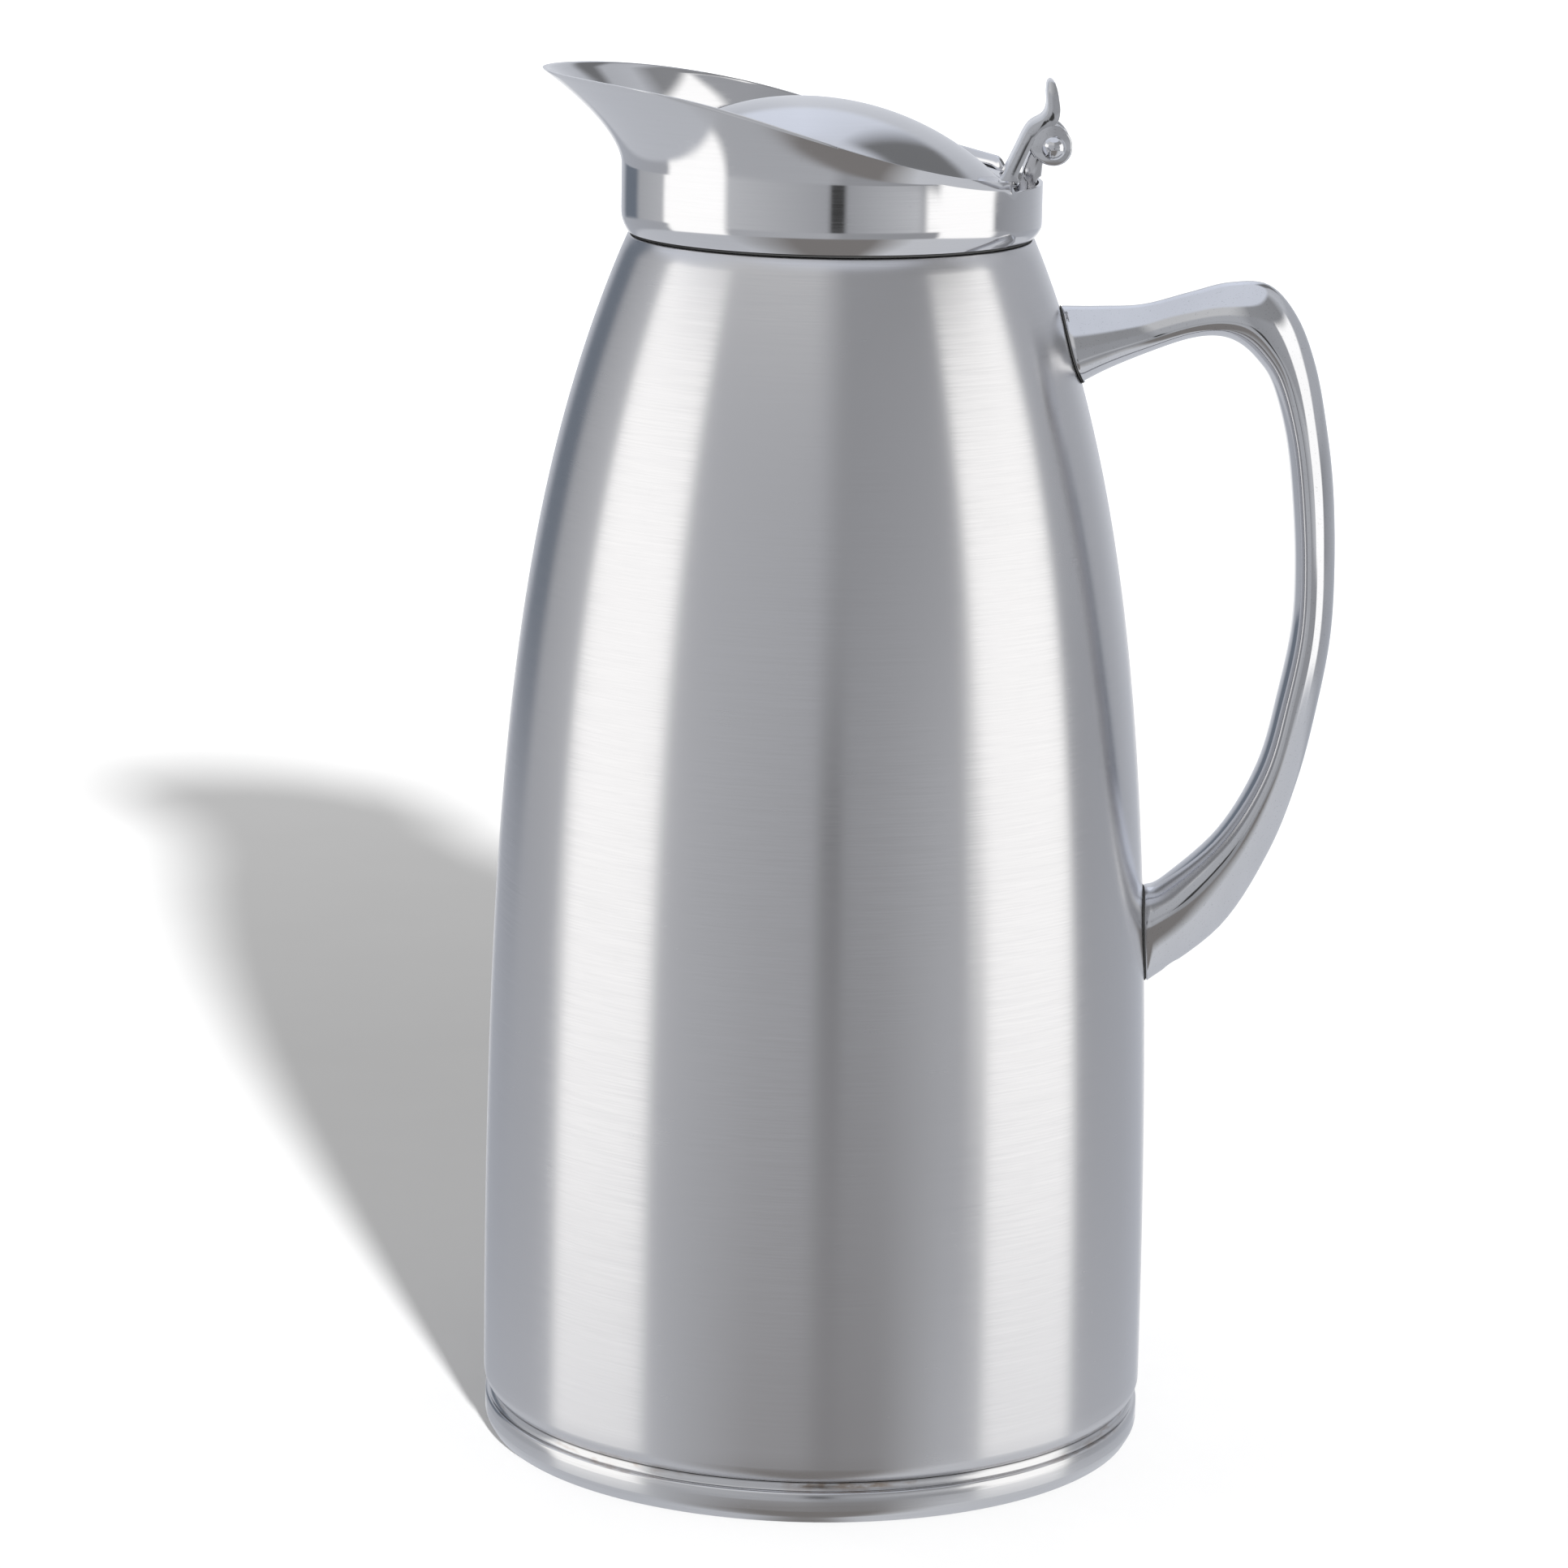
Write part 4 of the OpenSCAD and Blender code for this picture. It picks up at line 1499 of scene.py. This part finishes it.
@dataclass(frozen=True)
class Hinge:
    """The lever, the bracket, and the pin with its ball ends."""

    x: float = 43.1
    z: float = 262.7
    half_width: float = 6.4
    cheek_inside: float = 4.6
    barrel: float = 4.4
    barrel_radius: float = 3.1
    ball: float = 2.4
    rivet: Point = (34.9, 4.1)
    tab_neck: float = 268.0
    tab_top: float = 275.6
    tab_taper: float = 0.42

    def pin_axis(self, way: int) -> Axis:
        """Give the pin's axis; way is 1 for +Y and -1 for -Y."""
        return Axis(centre=(self.x, 0, self.z), up=(0, way, 0), out=(1, 0, 0))

    def build_strap(self) -> None:
        """Cut the bent strap and narrow its thumb tab to a rounded paddle."""
        front = [(33.0, 256.0), (33.5, 256.6), (34.3, 258.2), (36.1, 262.0), (37.6, 265.2), (38.9, 266.9)]
        front += [(40.9, 268.1), (41.7, 269.2), (41.95, 270.7), (41.8, 272.8), (41.95, 274.8), (42.6, 275.4)]
        rear = [(43.3, 274.9), (43.7, 273.6), (44.05, 271.8), (44.3, 269.9), (44.1, 268.2), (43.4, 267.0)]
        rear += [(41.6, 266.4), (40.2, 265.4), (39.2, 263.6), (37.6, 260.0), (36.5, 257.4), (36.3, 256.4)]
        rear += [(36.75, 255.6)]
        outline = flow(front, 3) + flow(rear, 3)
        piece = Plate("lever_strap", outline, -self.half_width, self.half_width, rounding=0.45).build()
        neck, top = self.tab_neck * MM, self.tab_top * MM
        for corner in piece.data.vertices:
            up = max(0.0, (corner.co.z - neck) / (top - neck))
            corner.co.y *= 1 - self.tab_taper * min(1.0, up) ** 3.2
        hand_over(piece, Body.LID, Slot.CAST_STEEL, "lid_lever")

    def build_cheeks(self) -> None:
        """Cut one round cheek and copy it to the other side of the barrel."""
        outline = [(38.3, 262.3), (39.2, 264.6), (40.4, 266.2), (42.3, 267.1), (43.9, 267.0), (45.4, 265.9)]
        outline += [(46.5, 264.3), (46.85, 262.6), (46.5, 260.9), (45.4, 259.6), (43.9, 258.98)]
        outline += [(42.2, 259.05), (40.6, 259.7), (39.2, 260.8)]
        closed = flow([*outline, outline[0]], 3)[:-1]
        near = Plate("lever_cheek_near", closed, -self.half_width, -self.cheek_inside, 0.5).build()
        far = copy_across(near, "lever_cheek_far", self.half_width + self.cheek_inside)
        for cheek in (near, far):
            hand_over(cheek, Body.LID, Slot.CAST_STEEL, "lid_lever")

    def build_rivets(self) -> None:
        """Turn one blind rivet and copy it across the strap."""
        x, y = self.rivet
        spot = LID_AXIS.place(x, 0) / MM
        axis = Axis(centre=(spot.x, -y, spot.z), up=LID_AXIS.up, out=LID_AXIS.out)
        profile = [(0.0, -1.9), (0.85, -1.9), (1.0, -1.75), (1.0, -1.0), (0.8, -1.0), (0.8, 1.8)]
        profile += [(0.7, 1.9), (0.0, 1.9)]
        near = Turned("rivet_near", profile, axis, closed=False, steps=32).build()
        far = copy_across(near, "rivet_far", 2 * y)
        for rivet in (near, far):
            hand_over(rivet, Body.LID, Slot.POLISHED_STEEL, "lever_rivets")

    def build_bracket(self) -> None:
        """Cut the bracket's web and turn the barrel on its top."""
        outline = [(38.2, 250.6), (40.1, 250.6), (40.1, 255.6), (40.4, 256.3), (41.0, 256.8), (41.2, 259.4)]
        outline += [(44.0, 260.4), (43.4, 263.3), (40.4, 263.5), (39.3, 262.3), (38.4, 260.3), (37.6, 258.0)]
        outline += [(37.5, 256.4), (38.2, 255.4)]
        web = Plate("bracket_web", outline, -self.barrel + 0.05, self.barrel - 0.05, 0.25).build()
        hand_over(web, Body.VESSEL, Slot.POLISHED_STEEL, "hinge_bracket")
        b, r = self.barrel, self.barrel_radius
        profile = [(1.93, -b), (r - 0.3, -b), (r, -b + 0.3), (r, b - 0.3), (r - 0.3, b), (1.93, b)]
        barrel = Turned("bracket_barrel", profile, self.pin_axis(1), steps=96).build()
        hand_over(barrel, Body.VESSEL, Slot.POLISHED_STEEL, "hinge_bracket")

    def build_pin(self) -> None:
        """Turn the headed pin and the cap that closes its far end."""
        seat = self.half_width + 0.05
        flat = 0.75
        centre = seat + self.ball * flat
        start = -math.degrees(math.asin(flat))
        ball = arc((0, centre), self.ball, start, 90, 20)[:-1] + [(0.0, centre + self.ball)]
        shaft = [(0.0, -7.4), (1.3, -7.4), (1.5, -7.2), (1.5, seat)]
        pin = Turned("hinge_pin_near_ball", shaft + ball, self.pin_axis(-1), closed=False, steps=96).build()
        hand_over(pin, Body.LID, Slot.CAST_STEEL, "hinge_pin")
        bore = [(0.0, seat + 1.0), (1.52, seat + 1.0), (1.52, seat)]
        cap = Turned("hinge_far_ball", bore + ball, self.pin_axis(1), closed=False, steps=96).build()
        hand_over(cap, Body.LID, Slot.CAST_STEEL, "pin_cap")

    def build(self) -> None:
        """Build the hinge's pieces."""
        self.build_strap()
        self.build_cheeks()
        self.build_rivets()
        self.build_bracket()
        self.build_pin()


@dataclass(frozen=True)
class InnerWorks:
    """The CAD nodes that stay as they are: hidden fittings of the vessel and the lid."""

    slots: tuple[tuple[str, Slot], ...] = (
        ("outer_bottom", Slot.LINER_STEEL),
        ("getter_cup", Slot.LINER_STEEL),
        ("getter_tablet", Slot.GETTER_ALLOY),
        ("seal_off_cap", Slot.BRAZE_BRASS),
        ("hinge_bush", Slot.BUSH_BRASS),
        ("upper_stud", Slot.SCREW_STEEL),
        ("lower_stud", Slot.SCREW_STEEL),
        ("upper_set_screw", Slot.SCREW_STEEL),
        ("lower_set_screw", Slot.SCREW_STEEL),
        ("lid_insulation", Slot.FOAM),
    )

    def dress(self) -> None:
        """Give each carried-over node its finish."""
        for name, slot in self.slots:
            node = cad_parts[name]
            node.data.materials.clear()
            node.data.materials.append(FINISHES[slot].material())
            log.info("%s: kept from the frame", name)


# ---------------------------------------------------------------- studio


@dataclass(frozen=True)
class Panel:
    """A stop of the light tent's wall: where it stands and how bright it is."""

    azimuth: float
    tone: Colour


def grey(value: float, cool: float = 0.0) -> Colour:
    """Give a light's colour from its grey level, a little cooler if asked."""
    return (value * (1 - cool), value * (1 - cool * 0.5), value * (1 + cool * 0.7))


@dataclass(frozen=True)
class Studio:
    """A white floor, a light tent seen in the metal, one soft lamp, and the camera."""

    floor_radius: float = 30.0
    floor_albedo: float = 0.85
    ambient: float = 0.5
    # Painted light: strength of the floor's glow far from the server.
    glow: float = 0.3
    lamp_power: float = 5.6
    lamp_spread: float = 3.6
    lamp_way: tuple[float, float, float] = (0.245, -0.879, 0.4085)
    panel: Colour = (1.32, 1.31, 1.29)
    shade_tone: Colour = (0.23, 0.218, 0.212)
    gap_tone: Colour = (0.17, 0.195, 0.235)
    roof_tone: Colour = grey(0.78, 0.08)
    white: Colour = grey(1.05)
    eye: tuple[float, float, float] = (-7.52, -1076.32, 367.73)
    pitch: float = 12.305
    roll: float = 0.947
    lens: float = 125.37

    def high_wall(self) -> list[Panel]:
        """Give the tent's wall from the horizon up: 0 is the camera's side, -90 the spout's.

        Returns:
            The panels in order, from -180 to 180 degrees.
        """
        return [
            Panel(-180, grey(0.74, 0.06)),
            Panel(-160, grey(0.5, 0.08)),
            Panel(-152, self.gap_tone),
            Panel(-136, self.gap_tone),
            Panel(-130, grey(0.46, 0.04)),
            Panel(-105, grey(0.58, 0.03)),
            Panel(-102, self.panel),
            Panel(-61, self.panel),
            Panel(-57, grey(0.52, 0.04)),
            Panel(-3, grey(0.48, 0.04)),
            Panel(6, grey(0.36, 0.04)),
            Panel(55, grey(0.42, 0.04)),
            Panel(59, self.panel),
            Panel(98, self.panel),
            Panel(102, grey(0.5, 0.05)),
            Panel(140, grey(0.5, 0.06)),
            Panel(180, grey(0.74, 0.06)),
        ]

    def canopy(self) -> list[Panel]:
        """Give the sloping cloth over the wall, brightest at the front left.

        Returns:
            The panels in order, from -180 to 180 degrees.
        """
        return [
            Panel(-180, grey(0.9, 0.1)),
            Panel(-100, grey(0.72, 0.07)),
            Panel(-60, grey(0.64, 0.01)),
            Panel(-8, grey(0.64, 0.01)),
            Panel(10, grey(0.34, 0.03)),
            Panel(85, grey(0.3, 0.03)),
            Panel(105, grey(0.6, 0.05)),
            Panel(132, grey(0.55, 0.05)),
            Panel(140, grey(0.2, 0.03)),
            Panel(156, grey(0.2, 0.03)),
            Panel(166, grey(0.8, 0.09)),
            Panel(180, grey(0.9, 0.1)),
        ]

    def eye_line(self) -> list[Panel]:
        """Give the narrow zone just under the horizon, with the dark gap beside the camera.

        Returns:
            The panels in order, from -180 to 180 degrees.
        """
        return [
            Panel(-180, grey(0.8, 0.06)),
            Panel(-160, grey(0.5, 0.08)),
            Panel(-152, self.gap_tone),
            Panel(-136, self.gap_tone),
            Panel(-130, grey(0.46, 0.04)),
            Panel(-106, grey(0.56, 0.03)),
            Panel(-103, self.panel),
            Panel(-62, self.panel),
            Panel(-58, grey(0.6, 0.03)),
            Panel(-2, grey(0.42, 0.04)),
            Panel(0, grey(0.05)),
            Panel(6, grey(0.05)),
            Panel(8, grey(0.4, 0.04)),
            Panel(47, grey(0.62, 0.03)),
            Panel(51, grey(0.5, 0.03)),
            Panel(54, self.panel),
            Panel(97, self.panel),
            Panel(101, grey(0.34, 0.05)),
            Panel(140, grey(0.5, 0.06)),
            Panel(180, grey(0.8, 0.06)),
        ]

    def low_wall(self) -> list[Panel]:
        """Give the tent's wall below the horizon, with the white floor behind the server.

        Returns:
            The panels in order, from -180 to 180 degrees.
        """
        left, right = grey(0.485, 0.04), grey(0.362, 0.04)
        return [
            Panel(-180, grey(1.0)),
            Panel(-172, grey(0.95, 0.02)),
            Panel(-162, grey(0.47, 0.08)),
            Panel(-103, grey(0.45, 0.05)),
            Panel(-99, self.panel),
            Panel(-62, self.panel),
            Panel(-58, left),
            Panel(-2, left),
            Panel(6, right),
            Panel(59, right),
            Panel(62, self.panel),
            Panel(98, self.panel),
            Panel(103, grey(0.42, 0.05)),
            Panel(135, grey(0.46, 0.07)),
            Panel(160, grey(0.56, 0.08)),
            Panel(170, grey(0.95, 0.02)),
            Panel(180, grey(1.0)),
        ]

    def skirting(self) -> list[Panel]:
        """Give the floor as the metal sees it, well below the horizon.

        Returns:
            The panels in order, from -180 to 180 degrees.
        """
        pale = grey(0.64, 0.06)
        return [
            Panel(-180, pale),
            Panel(-62, grey(0.6, 0.05)),
            Panel(-46, grey(0.44, 0.03)),
            Panel(-22, self.shade_tone),
            Panel(24, self.shade_tone),
            Panel(38, grey(0.5, 0.02)),
            Panel(48, grey(0.68, 0.04)),
            Panel(180, pale),
        ]

    def build_floor(self) -> None:
        """Lay a wide pale floor with a turned-down edge, out of sight of the metal."""
        clear_bench()
        bpy.ops.mesh.primitive_circle_add(vertices=96, radius=self.floor_radius, fill_type="NGON")
        floor = name_piece("studio_floor")
        take_up(floor)
        bpy.ops.mesh.select_all(action="SELECT")
        bpy.ops.mesh.inset(thickness=0.5)
        pick(floor, lambda place: place.length > self.floor_radius - 0.2)
        bpy.ops.transform.translate(value=(0, 0, -0.2))
        bpy.ops.object.mode_set(mode="OBJECT")
        floor.data.materials.append(self.floor_material())
        floor.visible_glossy = False

    def floor_material(self) -> bpy.types.Material:
        """Make a matt, almost even, pale surface with painted light: it glows more away from the server,
        which lifts the far end of the cast shadow.

        Returns:
            The material.
        """
        material = bpy.data.materials.new("studio_paper")
        material.use_nodes = True
        wiring = Wiring(material.node_tree)
        shader = material.node_tree.nodes["Principled BSDF"]
        pale = rgba(grey(self.floor_albedo))
        fibre = wiring.step(wiring.noise(wiring.stretched((30.0, 30.0, 30.0)), 1.0, 3.0), 0.3, 0.7)
        tone = wiring.mix(fibre, pale, rgba(grey(self.floor_albedo * 0.99)))
        wiring.tree.links.new(tone, shader.inputs["Base Color"])
        shader.inputs["Roughness"].default_value = 0.9
        shader.inputs["Specular IOR Level"].default_value = 0.0
        # Painted light: emission grows with distance from the server, lightening the far part of the cast
        # shadow.
        place = wiring.stretched((1.0, 1.0, 0.0))
        away = wiring.add("ShaderNodeVectorMath", {0: place}, operation="LENGTH").outputs["Value"]
        glow = wiring.mix(wiring.step(away, 0.3, 1.6, False), rgba(grey(0.0)), rgba(grey(self.glow)))
        wiring.tree.links.new(glow, shader.inputs["Emission Color"])
        shader.inputs["Emission Strength"].default_value = 1.0
        return material

    def build_world(self) -> None:
        """Make the light tent: white to the camera, even to matt surfaces, panels to the metal."""
        world = bpy.data.worlds.new("light_tent")
        bpy.context.scene.world = world
        world.use_nodes = True
        world.node_tree.nodes.clear()
        wiring = Wiring(world.node_tree)
        way = wiring.add("ShaderNodeTexCoord").outputs["Generated"]
        parts = wiring.add("ShaderNodeSeparateXYZ", {0: way}).outputs
        front = wiring.math("MULTIPLY", parts["Y"], -1.0)
        turn = wiring.math("ARCTAN2", parts["X"], front)
        around = wiring.math("MULTIPLY_ADD", turn, 1 / math.tau, 0.5)
        tent = self.ring_of(wiring, around, self.high_wall())
        for panels, start, full in (
            (self.canopy(), 0.42, 0.54),
            (self.eye_line(), 0.03, -0.04),
            (self.low_wall(), -0.135, -0.17),
            (self.skirting(), -0.3, -0.37),
        ):
            zone = self.ring_of(wiring, around, panels)
            tent = wiring.mix(wiring.step(parts["Z"], start, full), tent, zone)
        tent = wiring.mix(wiring.step(parts["Z"], 0.8, 0.88), tent, rgba(self.roof_tone))
        path = wiring.add("ShaderNodeLightPath").outputs
        tent = wiring.mix(path["Is Diffuse Ray"], tent, rgba(grey(self.ambient)))
        tent = wiring.mix(path["Is Camera Ray"], tent, rgba(self.white))
        light = wiring.add("ShaderNodeBackground", {"Color": tent, "Strength": 1.0})
        wiring.add("ShaderNodeOutputWorld", {"Surface": light.outputs[0]})

    def ring_of(self, wiring: Wiring, around: object, panels: Sequence[Panel]) -> bpy.types.NodeSocket:
        """Set panels round the tent.

        Args:
            wiring: The world's wiring.
            around: Output that runs from 0 to 1 round the tent.
            panels: The panels in order, from -180 to 180 degrees.

        Returns:
            The colour at each direction.
        """
        ramp = wiring.add("ShaderNodeValToRGB", {0: around})
        stops = ramp.color_ramp.elements
        stops[0].position = 0.0
        stops[1].position = 1.0
        for panel in panels[1:-1]:
            stops.new((panel.azimuth + 180) / 360)
        for stop, panel in zip(stops, panels):
            stop.color = rgba(panel.tone)
        return ramp.outputs[0]

    def build_lamp(self) -> None:
        """Hang the soft lamp at the front right; it lights the floor and not the metal."""
        clear_bench()
        bpy.ops.object.light_add(type="SUN", location=(0.5, -1.8, 1.2))
        lamp = bpy.context.object
        lamp.name = "soft_lamp"
        lamp.data.energy = self.lamp_power
        lamp.data.angle = math.radians(self.lamp_spread)
        lamp.rotation_euler = Vector(self.lamp_way).to_track_quat("Z", "Y").to_euler()
        lamp.visible_glossy = False

    def build_camera(self) -> None:
        """Set up the long-lens camera, a little above the lid and turned slightly on its axis."""
        clear_bench()
        bpy.ops.object.camera_add(location=Vector(self.eye) * MM)
        camera = bpy.context.object
        camera.name = "studio_camera"
        p, r = math.radians(self.pitch), math.radians(self.roll)
        ahead = Vector((0, math.cos(p), -math.sin(p)))
        level = Vector((0, math.sin(p), math.cos(p)))
        right = math.cos(r) * Vector((1, 0, 0)) + math.sin(r) * level
        up = math.cos(r) * level - math.sin(r) * Vector((1, 0, 0))
        turned = Matrix((right, up, -ahead)).transposed()
        camera.rotation_euler = turned.to_euler()
        camera.data.sensor_width = 36
        camera.data.lens = self.lens
        camera.data.clip_end = 200
        bpy.context.scene.camera = camera

    def build(self) -> None:
        """Build the studio."""
        self.build_floor()
        self.build_world()
        self.build_lamp()
        self.build_camera()
        bpy.context.scene.view_settings.view_transform = "Standard"
        log.info("studio ready")


def main() -> None:
    """Build the studio, the server's pieces and their finishes, in order."""
    logging.basicConfig(level=logging.INFO, format="%(name)s %(message)s")
    Studio().build()
    Vessel().build()
    Foot().build()
    Collar().build()
    Handle().build()
    Lid().build()
    Hinge().build()
    InnerWorks().dress()
    clear_bench()


if __name__ == "__main__":
    main()
